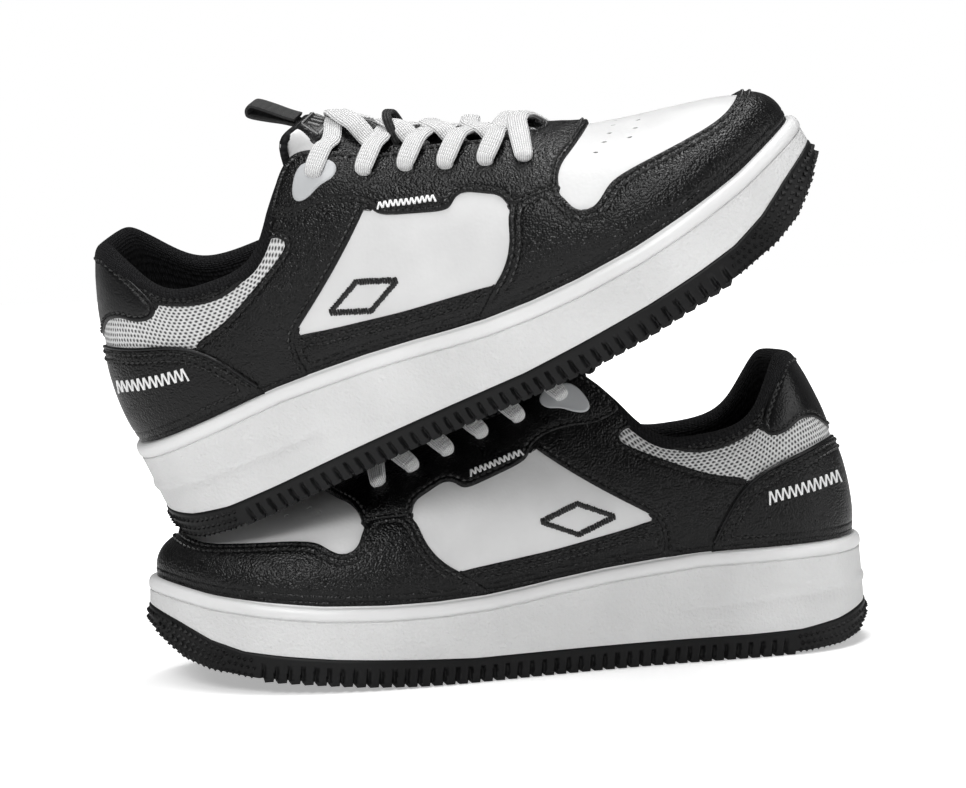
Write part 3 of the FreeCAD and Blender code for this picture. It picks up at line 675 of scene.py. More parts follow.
def rubber(name, dark, light, rough, scale, depth, strength, specular=0.5):
    """A plain material with a fine grain, for rubber, plastic, board and thread."""
    n = Nodes(name)
    tone = n.ramp(n.noise(30, 5), [(0.3, dark), (0.7, light)])
    return n.finish(tone, rough, n.bump(n.noise(scale, 3), strength, depth), Specular_IOR_Level=specular)


def mesh_fabric(name, pitch=0.0023):
    """White spacer fabric: a hexagonal lattice of small shaded holes."""
    n = Nodes(name)
    tall = math.sqrt(3)
    scaled = n.mapped(n.coordinates("UV"), "Scale", (1 / pitch, 1 / (pitch * tall), 1))

    def lattice(source):
        split = n.node("ShaderNodeSeparateXYZ")
        n.link(source, split.inputs[0])
        x = n.math("SUBTRACT", n.math("FRACT", split.outputs[0]), 0.5)
        y = n.math("MULTIPLY", n.math("SUBTRACT", n.math("FRACT", split.outputs[1]), 0.5), tall)
        return n.math("SQRT", n.math("ADD", n.math("MULTIPLY", x, x), n.math("MULTIPLY", y, y)))
    away = n.math("MINIMUM", lattice(scaled), lattice(n.mapped(scaled, "Location", (0.5, 0.5, 0))))
    wobble = n.math("ADD", away, n.math("MULTIPLY", n.math("SUBTRACT", n.noise(900, 2), 0.5), 0.18))
    tone = n.ramp(wobble, [(0.16, grey(0.05)), (0.38, grey(0.72))])
    return n.finish(tone, 0.75, n.bump(n.ramp(wobble, [(0.1, grey(0)), (0.45, grey(1))]), 0.9, 0.0006),
                    Sheen_Weight=0.2)


def knit(name, dark, light, depth=0.0005):
    """Rows of small loops, drawn in the piece's own flat coordinates, with painted shade between the loops.
    """
    n = Nodes(name)
    cell = n.cells(1.0, "F1", 0.35, n.mapped(n.coordinates("UV"), "Scale", (700, 420, 1)))
    height = n.math("SUBTRACT", 1.0, n.math("ADD", cell, n.math("MULTIPLY", n.noise(2500, 2), 0.3)))
    # the colour follows the loops' height: painted shade in the hollows between loops and painted light on
    # their tops
    tone = n.ramp(height, [(0.25, dark), (0.75, light)])
    return n.finish(tone, 0.8, n.bump(height, 1.0, depth), Specular_IOR_Level=0.25)


def weave(name, dark, light, ribs, across, rough, depth, sheen=0.25):
    """Tape with lengthwise ribs and fine cross threads, with painted shade in the grooves between the ribs.
    """
    n = Nodes(name)
    split = n.node("ShaderNodeSeparateXYZ")
    n.link(n.coordinates("UV"), split.inputs[0])
    along = n.math("ABSOLUTE", n.math("SINE", n.math("MULTIPLY", split.outputs[0], ribs)))
    cross = n.math("ABSOLUTE", n.math("SINE", n.math("MULTIPLY", split.outputs[1], across)))
    height = n.math("ADD", n.math("MULTIPLY", n.math("MULTIPLY", along, 0.7), n.math("ADD", cross, 0.8)),
                    n.math("MULTIPLY", n.noise(3000, 2), 0.4))
    # the colour follows the ribs' height: painted shade in the grooves and painted light on the rib tops
    tone = n.ramp(height, [(0.15, dark), (0.8, light)])
    return n.finish(tone, rough, n.bump(height, 0.6, depth), Sheen_Weight=sheen)


# name, darkest and lightest colour, roughness, grain scale, grain height in metres, grain strength, specular
WHITE_LEATHER = leather("white leather", grey(0.63), grey(0.70), 0.42, 700, 0.00018, 0.3)
BLACK_LEATHER = leather("black leather", (0.001, 0.001, 0.0011), (0.0035, 0.0035, 0.0038), 0.30, 1350,
                        0.0005, 0.8, 0.36)
SMOOTH_BLACK = leather("smooth black leather", (0.0015, 0.0015, 0.0018), (0.004, 0.004, 0.0045), 0.3, 1300,
                       0.00025, 0.5, 0.4)
WHITE_MESH = mesh_fabric("white spacer mesh")
BLACK_KNIT = knit("black knit", (0.0015, 0.0015, 0.002), (0.022, 0.022, 0.024), depth=0.0009)
WHITE_PAD = leather("white padding", grey(0.64), grey(0.72), 0.5, 900, 0.0002, 0.3)
WALL_RUBBER = rubber("white rubber wall", grey(0.63), grey(0.70), 0.5, 800, 0.0006, 0.9)
LIP_RUBBER = rubber("white rubber lip", grey(0.70), grey(0.76), 0.36, 400, 0.00008, 0.2)
BLACK_RUBBER = rubber("black rubber", (0.003, 0.003, 0.0032), (0.008, 0.008, 0.0084), 0.5, 900,
                      0.0002, 0.4, 0.3)
LACE_WEAVE = weave("white woven lace", grey(0.40), grey(0.80), 3600, 2100, 0.85, 0.0009)
WEBBING = weave("black ribbed webbing", grey(0.002), grey(0.014), 2600, 1100, 0.6, 0.0006, 0.05)
PLASTIC = rubber("light grey plastic", (0.44, 0.45, 0.46), (0.50, 0.51, 0.52), 0.4, 500, 0.0001, 0.25)
BLACK_THREAD = rubber("black thread", grey(0.012), grey(0.035), 0.32, 2600, 0.0002, 0.6)
GREY_THREAD = rubber("grey thread", grey(0.16), grey(0.26), 0.5, 2600, 0.0002, 0.6)
WHITE_THREAD = rubber("white thread", grey(0.78), grey(0.9), 0.5, 2600, 0.0002, 0.6)
DARK_CLOTH = knit("dark cloth", (0.006, 0.006, 0.007), (0.03, 0.03, 0.032))
BOARD = rubber("fibre board", (0.42, 0.34, 0.24), (0.52, 0.43, 0.32), 0.8, 900, 0.0002, 0.4)
STIFFENER = rubber("stiffener sheet", (0.02, 0.02, 0.02), (0.04, 0.04, 0.04), 0.7, 700, 0.0001, 0.3)

# ------------------------------------------------------------------ eyelets and perforations
# the depth of the cloth that the panels are sewn on
BASE = 1.45
SIDE_GRIDS = {}


def find_uv(x, z, low=6.0, high=15.99):
    """The surface parameters of a point seen from the outer side."""
    if (low, high) not in SIDE_GRIDS:
        u, v = np.meshgrid(np.linspace(low, high, 400), np.linspace(0.02, 0.99, 240), indexing="ij")
        SIDE_GRIDS[low, high] = u.ravel(), v.ravel(), upper(u, v).reshape(-1, 3)
    u, v, p = SIDE_GRIDS[low, high]
    k = np.argmin(np.hypot(p[:, 0] - x, p[:, 2] - z))
    return u[k], v[k]


EYE_UV = [find_uv(x, z) for x, z in EYELETS]
EYE_RADIUS, PERFORATION, PERFORATION_PITCH = 2.1, 0.85, 6.2
EYE_HOLES = [(across_shoe(u, side), v, EYE_RADIUS) for side in (1, -1) for u, v in EYE_UV]
TOE_HOLES = []
toe_u, toe_v = np.meshgrid(np.linspace(12.0, 16.0, 200), np.linspace(0.3, 0.9, 200), indexing="ij")
toe_points = upper(toe_u, toe_v)
# two bowed rows across the toe box
for x, reach in ((241.0, 4), (250.5, 3)):
    for k in range(-reach, reach + 1):
        y = k * PERFORATION_PITCH
        best = np.argmin(np.hypot(toe_points[..., 0] - (x - 0.012 * y * y), toe_points[..., 1] - abs(y)))
        TOE_HOLES.append((across_shoe(toe_u.flat[best], -1 if y < 0 else 1), toe_v.flat[best], PERFORATION))

# ------------------------------------------------------------------ the upper
EDGE_LEVELS = (0.25, 0.6, 1.1)
black_stitch = Parts()


def side_range(side, near, far):
    return (near, far) if side == "lateral" else (FULL - far, FULL - near)


def sew(name, panel, top, bottom, material, rows=(), avoid=(), v_min=0.07):
    """Puts a panel on the shoe with rows of stitches at distances in from its border."""
    place(name, panel.mesh(top, bottom), "shoe", material, [name])
    for level in rows:
        panel_stitches(black_stitch, panel, level, top, avoid, v_min)


def black(name, panel, top, rows, avoid=(), v_min=0.07):
    sew(name, panel, top, BASE, BLACK_LEATHER, rows, avoid, v_min)


sew("vamp", Panel(VAMP, FRONT, (0.0, 0.985), holes=TOE_HOLES), layer_top(BASE + 0.1, 0.1, 0.6, 0.0),
    BASE + 1.5, WHITE_LEATHER)
sew("collar_mesh", Panel(COLLAR, REAR, (0.0, 0.985), levels=(0.5, 2.0)), layer_top(BASE - 0.1, 0.0, 1.0, 0.9),
    BASE + 1.5, WHITE_MESH)
heel = Panel(HEEL_GUARD, REAR, levels=EDGE_LEVELS + (1.7, 2.2, 2.8, 3.7, 4.7, 5.2, 5.8, 7.0))
black("heel_overlay", heel, layer_top(BASE, 1.9, 1.0, 0.3, (2.2, 5.2)), (2.2, 5.2), v_min=0.1)
tab = Panel(TAB, REAR, levels=EDGE_LEVELS + (1.8, 2.4, 3.0, 4.2, 6.0))
sew("heel_tab", tab, layer_top(BASE, 1.6, 1.0, 0.5, (2.4,)), BASE, SMOOTH_BLACK,
    (2.4,))
guard = Panel(GUARD, FRONT, under=[(STAY, 3.0)],
              levels=EDGE_LEVELS + (1.7, 2.2, 2.8, 3.8, 4.4, 4.8, 5.4, 7.0))
black("toe_overlay", guard, layer_top(BASE, 1.5, 1.0, 0.5, (2.2, 4.8)), (2.2, 4.8), [STAY], 0.12)
stay = Panel(STAY, FRONT, holes=EYE_HOLES, levels=EDGE_LEVELS + (1.7, 2.2, 2.8, 4.2, 6.0))
black("eyestay", stay, layer_top(BASE, 1.9, 1.0, 0.5, (2.2,)), (2.2,))
for side, top_hole in (("lateral", EYE_HOLES[0]), ("medial", EYE_HOLES[len(EYELETS)])):
    saddle = Panel(SADDLE, side_range(side, 0.3, 9.6), under=[(HEEL_GUARD, 4.0), (STAY, 4.0), (TAB, 3.0)],
                   levels=EDGE_LEVELS + (1.8, 2.4, 3.0, 4.2, 6.0))
    black("saddle_" + side, saddle, layer_top(BASE, 1.3, 1.0, 0.5, (2.4,)), (2.4,), [HEEL_GUARD, STAY, TAB])
    foxing = Panel(FOXING, side_range(side, 5.0, 11.8), under=[(SADDLE, 3.0), (GUARD, 3.0)],
                   levels=EDGE_LEVELS + (1.7, 2.2, 2.8, 4.0, 4.6, 5.2))
    black("foxing_" + side, foxing, layer_top(BASE, 1.0, 0.9, 0.3, (2.2, 4.6)), (2.2, 4.6),
          [SADDLE, GUARD], 0.1)
    quarter = Panel(QUARTER, side_range(side, 4.0, 12.6), (0.0, 0.985), step=2.2)
    sew("quarter_" + side, quarter, layer_top(BASE + 0.05, 0.05, 0.6, 0.3), BASE + 1.5, WHITE_LEATHER)
    patch = Panel(PATCH, side_range(side, 6.0, 10.5), (0.4, 0.995), holes=[top_hole],
                  levels=EDGE_LEVELS + (1.8,), step=1.5)
    sew("eyelet_patch_" + side, patch, layer_top(-0.5, 0.75, 0.8, 0.1), -0.3, PLASTIC)
place("stitching", black_stitch.get(), "shoe", BLACK_THREAD)


def relaxed(path, passes):
    """The path smoothed by averaging, its ends kept."""
    path = np.array(path)
    for _ in range(passes):
        path[1:-1] = (path[:-2] + 2 * path[1:-1] + path[2:]) / 4
    return path


# the raised welt along the heel overlay's seam
welt = Parts()
seam = np.array([q for q in rounded(HEEL_SEAM)[:-2] if q[1] > 46 and q[0] > 13])
for side in (1, -1):
    path = []
    for x, z in catmull(seam[::3], 3):
        u, v = find_uv(x, z, 0.05, 6.5)
        path.append(skin(across_shoe(u, side), v, -0.35))
    thread(welt, relaxed(path, 4), 0.75, 8)
place("heel_welt", welt.get(), "shoe", SMOOTH_BLACK)

# ------------------------------------------------------------------ white decorative zigzags
zigzag = Parts()


def zigzag_line(start, end, swing, periods, depth, low, high):
    """A zigzag thread between two points of the side view, on both sides of the shoe."""
    (x0, z0), (x1, z1) = start, end
    length = math.hypot(x1 - x0, z1 - z0)
    nx, nz = -(z1 - z0) / length, (x1 - x0) / length
    for side in (1, -1):
        path = []
        for k in range(2 * periods + 1):
            t = k / (2 * periods)
            sign = swing if k % 2 else -swing
            u, v = find_uv(x0 + (x1 - x0) * t + nx * sign, z0 + (z1 - z0) * t + nz * sign, low, high)
            path.append(skin(across_shoe(u, side), v, depth))
        fine = [path[0]]
        for a, b in zip(path, path[1:]):
            fine += [a + (b - a) * t for t in (0.12, 0.5, 0.88)]
        fine.append(path[-1])
        thread(zigzag, fine, 0.45, 6)


zigzag_line((15.5, 70.5), (50, 64.5), 3.0, 12, -0.95, 0.1, 5.5)
zigzag_line((150.5, 88.6), (172.5, 81.2), 1.3, 11, -0.95, 7.5, 12)
place("zigzag_stitches", zigzag.get(), "shoe", WHITE_THREAD)

# ------------------------------------------------------------------ plain embroidered diamond on each quarter
satin = Parts()
DIAMOND = [(114, 61), (129.5, 67.2), (145, 61), (129.5, 54.8)]
THREADS_A_SIDE = 16
for side in (1, -1):
    for (x0, z0), (x1, z1) in zip(DIAMOND, DIAMOND[1:] + DIAMOND[:1]):
        for m in range(THREADS_A_SIDE):
            t = (m + 0.5) / THREADS_A_SIDE
            cx, cz = x0 + (x1 - x0) * t, z0 + (z1 - z0) * t
            path = []
            for swing, depth in ((-1.0, 1.35), (0, 0.9), (1.0, 1.35)):
                u, v = find_uv(cx + 0.25 * swing, cz + swing, 5.5, 10.5)
                path.append(skin(across_shoe(u, side), v, depth))
            thread(satin, path, 0.55)
place("embroidery", satin.get(), "shoe", BLACK_THREAD)

# ------------------------------------------------------------------ padded collar lining
# its section round the top edge: v and the depth under the surface
SECTION = [(0.905, 1.6), (0.915, 0.7), (0.935, 0.0), (0.965, -0.5), (1.0, -0.2), (1.03, 0.9), (1.045, 2.6),
           (1.04, 4.4), (1.02, 5.9), (0.98, 7.0), (0.92, 7.6), (0.8, 7.6), (0.65, 7.2), (0.5, 6.9),
           (0.35, 6.7), (0.2, 6.7), (0.06, 6.7), (0.05, 3.3), (0.3, 3.2), (0.6, 3.2), (0.86, 3.2), (0.9, 2.6)]
lining_u = np.linspace(-7.35, 7.35, 150)
lining_section = catmull(SECTION + SECTION[:1], 2)[:-1]
U, K = np.meshgrid(lining_u, np.arange(len(lining_section)), indexing="ij")
V, DEPTH = lining_section[K, 0], lining_section[K, 1]
# the outer roll fades under the eyestay
fade = np.clip((np.abs(U) - 6.6) / 0.7, 0, 1)
V = V - 0.03 * fade
DEPTH = np.where(DEPTH < 3.0, DEPTH + (3.2 - DEPTH) * fade, DEPTH)
rows, columns = U.shape
lining_uv = np.stack([U * U_MM, np.cumsum(np.ones_like(U), axis=1) * 3.0], -1).reshape(-1, 2)
lining_faces = grid_faces(rows, columns, wrap_columns=True) + end_faces(rows, columns)
place("collar_lining", (skin(U, V, DEPTH).reshape(-1, 3), lining_faces, lining_uv), "shoe", BLACK_KNIT,
      ["collar_lining"], flip=True)

# ------------------------------------------------------------------ tongue
# rows from the root to the tip: x, z and half width of its front, and how far its sides fall under the laces
TONGUE = np.array([(224, 73, 15, 4), (211, 80.5, 21, 11), (197, 88, 24, 14), (181, 96.5, 26.5, 16),
                   (165, 105, 28, 18.5), (152, 113, 29, 25), (142, 121.5, 29, 29), (134, 129.5, 27, 30)])
# how far the tongue's side edges sit back from and below its middle, by row
WING_ROWS = np.arange(len(TONGUE))
WING_X = (-2, -5, -7, -8, -11, -18, -21, -8)
WING_Z = (-3.5, -9, -12, -14, -16, -19, -11, -1)
PAD_ROWS, PAD_COLUMNS, PAD_HALF, PAD_MIDDLE = 64, 41, 3.2, 4.0


def tongue_row(at):
    """x, z, half width, fall and the front normal at a row counted from the root."""
    last = len(TONGUE) - 1
    at = np.clip(at, 0, last)
    i = np.clip(np.floor(at).astype(int), 0, last - 1)
    t = (at - i)[..., None]
    a, b, c, d = (TONGUE[np.clip(i + k, 0, last)] for k in (-1, 0, 1, 2))
    one, two, three = c - a, 2 * a - 5 * b + 4 * c - d, 3 * b - a - 3 * c + d
    value = 0.5 * (2 * b + one * t + two * t * t + three * t ** 3)
    slope = 0.5 * (one + 2 * two * t + 3 * three * t * t)
    length = np.hypot(slope[..., 0], slope[..., 1])
    normal = np.stack([slope[..., 1] / length, np.zeros_like(length), -slope[..., 0] / length], -1)
    return value, normal


def tongue_point(at, across, depth):
    """A point of the tongue by row, share of its half width and depth behind its front."""
    at, across, depth = (a.astype(float) for a in np.broadcast_arrays(at, across, depth))
    value, normal = tongue_row(at)
    reach = np.abs(across)
    wing = np.stack([np.interp(at, WING_ROWS, w) for w in (WING_X, np.zeros(len(TONGUE)), WING_Z)], -1)
    narrow = 1 - 0.22 * np.clip((at - 5) / 2, 0, 1) * reach
    base = np.stack([value[..., 0], value[..., 2] * across * narrow, value[..., 1]], -1)
    return base + wing * (reach ** 1.9)[..., None] - normal * depth[..., None]


def tongue_pad():
    """The padded tongue, rounded at its edges, its margins fuller than its middle."""
    half = np.linspace(-1, 1, PAD_COLUMNS)
    A, C = np.meshgrid(np.linspace(0.6, 7.0, PAD_ROWS), np.concatenate([half, half[-2:0:-1]]), indexing="ij")
    front = np.arange(C.shape[1]) < PAD_COLUMNS
    edge = np.sqrt(np.clip(1 - ((np.abs(C) - 0.86) / 0.14).clip(0, 1) ** 2, 0, 1))
    tip = np.sqrt(np.clip(1 - ((A - 6.7) / 0.3).clip(0, 1) ** 2, 0, 1)) * 0.75 + 0.25
    margin = np.exp(-((np.abs(C) - 0.74) / 0.16) ** 2)
    thick = PAD_HALF * edge * tip + 0.15
    points = tongue_point(A, C, np.where(front, PAD_MIDDLE - thick - 0.9 * margin * tip, PAD_MIDDLE + thick))
    return relaxed(keep_inside(points, np.where(front, 0.0, 4.0)), 2), A, C


# the upper's inner face, which the tongue has to clear
ROOM_U, ROOM_V = np.meshgrid(np.linspace(4.5, FULL - 4.5, 420), np.linspace(0.45, 1.1, 60), indexing="ij")
ROOM_POINTS, ROOM_IN = upper(ROOM_U, ROOM_V).reshape(-1, 3), inward(ROOM_U, ROOM_V).reshape(-1, 3)
ROOM_TREE = KDTree(len(ROOM_POINTS))
for k, q in enumerate(ROOM_POINTS):
    ROOM_TREE.insert(q, k)
ROOM_TREE.balance()


FAR_AWAY, FRONT_LAYERS, LINING = 16, 3.4, 4.8


def keep_inside(points, extra):
    """Moves points of the tongue inwards until they clear the upper and its lining."""
    flat = points.reshape(-1, 3).copy()
    extra = np.broadcast_to(extra, points.shape[:-1]).ravel()
    for k, q in enumerate(flat):
        _, near, away = ROOM_TREE.find(q)
        if away > FAR_AWAY:
            continue
        u = ROOM_U.flat[near]
        rear = np.clip((7.9 - min(u, FULL - u)) / 0.8, 0, 1)
        need = FRONT_LAYERS + LINING * rear + extra[k]
        over = np.clip((1.09 - ROOM_V.flat[near]) / 0.05, 0, 1)
        depth = float((q - ROOM_POINTS[near]) @ ROOM_IN[near])
        if depth < need:
            flat[k] = q + ROOM_IN[near] * (need - depth) * over
    return flat.reshape(points.shape)


pad_points, pad_at, pad_across = tongue_pad()
rows, columns = pad_at.shape
faces = grid_faces(rows, columns, wrap_columns=True) + end_faces(rows, columns)
uv = np.stack([pad_across * 28, pad_at * 16], -1).reshape(-1, 2)
place("tongue", (pad_points.reshape(-1, 3), faces, uv), "tongue", WHITE_PAD, ["tongue"])

# black piping round the tongue's edge
rim = np.vstack([tongue_point(np.linspace(1.2, 6.9, 40), -1.0, 3.6),
                 tongue_point(7.0, np.linspace(-0.93, 0.93, 24), 3.2),
                 tongue_point(np.linspace(6.9, 1.2, 40), 1.0, 3.6)])
piping = sweep(relaxed(keep_inside(rim, 1.5), 3), (0.31, 0.93, 0.17), oval(3.4, 3.4, 10, 2))
place("tongue_piping", piping, "tongue", BLACK_KNIT)


def tongue_patch(first, last, reach, front, back):
    """A thin panel on the tongue's front between two rows."""
    A, C = np.meshgrid(np.linspace(first, last, 46), np.linspace(-reach, reach, 25), indexing="ij")
    soft = np.minimum(1, np.minimum(reach - np.abs(C), 0.05) / 0.05)
    ends = np.minimum(1, np.minimum(A - first, last - A) / 0.08)
    lift = np.sqrt(np.clip(1 - (1 - np.minimum(soft, ends)) ** 2, 0, 1))
    top = tongue_point(A, C, back + (front - back) * lift)
    under = tongue_point(A, C, back + 0.4)
    n, (r, c) = A.size, A.shape
    faces = [tuple(f[::-1]) for f in grid_faces(r, c)]
    faces += [tuple(i + n for i in f[::-1]) for f in faces]
    border = ([i * c for i in range(r)] + [(r - 1) * c + j for j in range(1, c)]
              + [i * c + c - 1 for i in range(r - 2, -1, -1)] + [j for j in range(c - 2, 0, -1)])
    faces += [(a, b, b + n, a + n) for a, b in zip(border, border[1:] + border[:1])]
    uv = np.stack([C * 28, A * 16], -1).reshape(-1, 2)
    return np.vstack([top.reshape(-1, 3), under.reshape(-1, 3)]), faces, np.vstack([uv, uv])


place("tongue_panel", tongue_patch(0.9, 5.95, 0.55, -0.1, 1.0), "tongue", BLACK_LEATHER, ["tongue_panel"])
place("tongue_label", tongue_patch(6.0, 6.95, 0.5, -0.1, 1.1), "tongue", SMOOTH_BLACK, ["tongue_label"])

# the label's plain stitched frame and bars
label_threads = Parts()
corners = [(6.15, -0.4), (6.15, 0.4), (6.8, 0.4), (6.8, -0.4), (6.15, -0.4)]
t = np.linspace(0.02, 0.98, 12)
for (a0, c0), (a1, c1) in zip(corners, corners[1:]):
    thread(label_threads, tongue_point(a0 + (a1 - a0) * t, c0 + (c1 - c0) * t, -0.25), 0.35)
t = np.array([0, 0.33, 0.66, 1])
for k in range(5):
    thread(label_threads, tongue_point(6.3 + 0.35 * t, -0.24 + 0.12 * k + 0.05 * t, -0.25), 0.5)
place("label_stitches", label_threads.get(), "tongue", GREY_THREAD)


# ------------------------------------------------------------------ laces
def lace_height(x, y):
    """Height of the tongue's plain CAD front, which the laces and the keeper lie on."""
    order = np.argsort(TONGUE[:, 0])
    z, half, fall = (np.interp(x, TONGUE[order, 0], TONGUE[order, k]) for k in (1, 2, 3))
    return z - fall * np.minimum(np.abs(y) / half, 1.0) ** 1.7


# the direction of a lace's width, and away from the tongue
LACE_ACROSS, LACE_UP = np.array([0.88, 0.0, -0.47]), np.array([0.47, 0.0, 0.88])
LACE_SECTION = oval(7.6, 3.0, 20, 2.4)
EYES = {(side, k): (skin(across_shoe(u, side), v, 0.0), -inward(across_shoe(u, side), v))
        for side in (1, -1) for k, (u, v) in enumerate(EYE_UV)}
laces, lace_lengths = Parts(), []


def lace_run(number, side):
    """A crossing lace: from under its neighbour over the middle and into its eyelet."""
    eye, out = EYES[side, number]
    topmost = number == 4
    x_start = EYELETS[number + 1][0] + (-3 if topmost else 2.8)
    far = -side * (7.0 if topmost else 9.5)
    over = 1.3 if side > 0 else 3.5
    mid_x = (x_start + eye[0]) / 2
    edge = eye + (5.0, -side * 5.2, 5.0)
    start = np.array([x_start, far, lace_height(x_start, far) + 1.2])
    return [start + (2.5, -side * 3.5, -3.5), start,
            ((x_start * 2 + mid_x) / 3, far * 0.6, lace_height(mid_x + 5, far * 0.6) + over * 0.8 + 0.6),
            (mid_x, 0, lace_height(mid_x, 0) + over),
            ((mid_x + edge[0]) / 2, edge[1] * 0.62, max(lace_height(mid_x, edge[1] * 0.62), edge[2]) + 1.6),
            edge + (0, 0, 1.0), eye + out * 1.5 + (-0.2, side * 0.2, 0.6),
            eye + out * 0.2 + (-1.0, side * 0.6, -0.8), eye - out * 4.0 + (-1.0, 0, -0.5)]


def add_lace(points, across, lift, size_along):
    """A flat lace through the points; size_along gives its width and thickness factors along it."""
    path = catmull(points, 9)
    lace_lengths.append(float(np.sum(np.linalg.norm(np.diff(path, axis=0), axis=1))))
    t = np.arange(len(path)) / (len(path) - 1)
    laces.add(*sweep(path + LACE_UP * lift, across, LACE_SECTION, np.stack(size_along(t), 1)))


def gathered_end(t):
    """A lace bunches up where it enters its eyelet, at the end of its run."""
    narrow = np.clip((1 - t) / 0.30, 0, 1)
    return 0.42 + 0.58 * narrow ** 0.7, 1.0 + 0.55 * (1 - narrow) * (t > 0.6)


def gathered_ends(t):
    ends = np.clip(np.minimum(t, 1 - t) / 0.27, 0, 1)
    return 0.45 + 0.6 * ends ** 0.7, 1.45 - 0.45 * ends


for number in range(5):
    for side in (1, -1):
        add_lace(lace_run(number, side), LACE_ACROSS * side, 1.2, gathered_end)
# the straight bar between the lowest eyelets
(eye_l, out_l), (eye_r, out_r) = EYES[1, 5], EYES[-1, 5]
add_lace([eye_l - out_l * 4, eye_l + out_l * 0.2, eye_l + out_l * 1.6 + (0.2, -0.5, 0.8), (208, 12, 87.6),
          (207.5, 6, 89.5), (207.5, 0, 90.1), (207.5, -6, 89.5), (208, -12, 87.6),
          eye_r + out_r * 1.6 + (0.2, 0.5, 0.8), eye_r + out_r * 0.2, eye_r - out_r * 4],
         -LACE_ACROSS, 1.0, gathered_ends)
place("lace", laces.get(), "shoe", LACE_WEAVE, ["lace"])

# ------------------------------------------------------------------ lace keeper and pull loop
KEEPER_X = 163.1
z = float(lace_height(KEEPER_X, 0))
half = [(8.6, lace_height(KEEPER_X, 8.6) + 0.2), (8.0, lace_height(KEEPER_X, 8.0) + 4.5), (5.4, z + 8.2)]
keeper = [(KEEPER_X, -y, h) for y, h in half] + [(KEEPER_X, 0, z + 9.6)]
keeper += [(KEEPER_X, y, h) for y, h in reversed(half)]
place("lace_keeper", sweep(catmull(keeper, 8), LACE_ACROSS, oval(3.6, 1.5, 14, 4)), "tongue", WEBBING,
      ["lace_keeper"])
LOOP_ROOT, LOOP_REACH, LOOP_SPREAD = (128.6, 130.3), 17.0, 1.45
LOOP_ANGLES = {"left": 222.0, "right": 139.0}


def loop_path(angle):
    """The folded tape in side view, out from the tongue's top and back."""
    ax, az = math.cos(math.radians(angle)), math.sin(math.radians(angle))
    bend = [(LOOP_REACH - LOOP_SPREAD + LOOP_SPREAD * 1.6 * math.cos(b), LOOP_SPREAD * 1.6 * math.sin(b))
            for b in (math.radians(d) for d in (-60, -30, 0, 30, 60))]
    near = LOOP_REACH - LOOP_SPREAD * 2
    lower = [(-1.5, -0.7), (3, -0.8), (LOOP_REACH * 0.5, -1.2), (near, -1.5)]
    lower = [(along, aside * LOOP_SPREAD) for along, aside in lower]
    upper_half = [(along, -aside) for along, aside in lower[::-1]]
    return [(LOOP_ROOT[0] + ax * along - az * aside, 0, LOOP_ROOT[1] + az * along + ax * aside)
            for along, aside in lower + bend + upper_half]


for shoe, angle in LOOP_ANGLES.items():
    tape = sweep(catmull(loop_path(angle), 6), (0, 1, 0), oval(14.0, 1.5, 18, 5))
    place("pull_loop", tape, "pull_loop", WEBBING, ["pull_loop"], shoes=(shoe,))

# ------------------------------------------------------------------ midsole
COARSE, FINE = 480, 1500


def sole_ring(count):
    """Parameters and plan points evenly round the sole's outline."""
    u = np.arange(count) * FULL / count
    return u, spline_at(SOLE_RING, u)[:, :2]


def wall(ring, z, out=0.0):
    """Points of the sole's tapering wall at heights z, moved out by a distance."""
    z = np.asarray(z, float)
    x, y = inset(ring[:, 0], ring[:, 1], TAPER * 1.2 * (z + 2) / 54 - out)
    return np.stack([x, y, z + np.zeros(len(x))], 1)


def toward_spine(points, share):
    """A ring drawn in towards the sole's middle line, to close a face."""
    spine = np.stack([np.clip(points[:, 0], *SPINE), np.zeros(len(points)), points[:, 2]], 1)
    return points + (spine - points) * share


ring_u, ring = sole_ring(COARSE)
outward = ring - np.stack(inset(ring[:, 0], ring[:, 1], 1.0), 1)
feather, split = height_at(FEATHER, ring[:, 0]), height_at(SPLIT, ring[:, 0])
FAN = (0.35, 0.6, 0.8, 0.93, 1.0)
BEAD_END, LIP_DEPTH, FOOTBED = 92, 5.2, 29.2
rows = [toward_spine(wall(ring, split + 0.3, -1.5), share) for share in FAN[::-1]]
rows += [wall(ring, split + 0.05, -0.6), wall(ring, split + 0.15, -0.1)]
rows += [wall(ring, split + (feather - LIP_DEPTH - split) * share) for share in (0.06, 0.14, 0.22)]
# the bead round the heel
bead = 26.5 - 4.5 * np.clip(ring[:, 0] / BEAD_END, 0, 1)
has_bead = np.clip((BEAD_END - ring[:, 0]) / 6, 0, 1)
for offset, out in ((-2.2, 0.0), (-1.4, 0.55), (0.0, 0.85), (1.4, 0.55), (2.2, 0.0)):
    level = np.clip(bead + offset, split + (feather - split) * 0.24, feather - 6.5)
    rows.append(wall(ring, level, out * has_bead))
for share in (0.88, 0.94):
    level = split + (feather - LIP_DEPTH - split) * share
    rows.append(wall(ring, np.maximum(level, rows[-1][:, 2] + 0.15)))
# the groove under the lip and the rounded lip: distance below the feather edge, distance out
lip_from = len(rows) + 2
for drop, out in ((5.9, 0.05), (5.45, -0.05), (5.15, -0.55), (4.85, -0.5), (4.6, 0.15), (4.1, 0.45),
                  (3.0, 0.6), (1.8, 0.5), (0.8, 0.15), (0.2, -0.4), (-0.15, -1.2), (-0.25, -2.2),
                  (-0.2, -3.0), (-0.8, -3.5)):
    rows.append(wall(ring, feather - drop, out))
rows += [wall(ring, feather - 4, -3.9), wall(ring, np.full(COARSE, 29.5), -3.9)]
rows += [toward_spine(wall(ring, np.full(COARSE, FOOTBED), -3.9), share) for share in FAN]
sole = np.array(rows)
sole_uv = np.stack([np.broadcast_to(ring_u * U_MM, sole.shape[:2]), sole[..., 2]], -1).reshape(-1, 2)
place("midsole", (sole.reshape(-1, 3), grid_faces(len(rows), COARSE, wrap_columns=True), sole_uv), "shoe",
      WALL_RUBBER, ["midsole"])
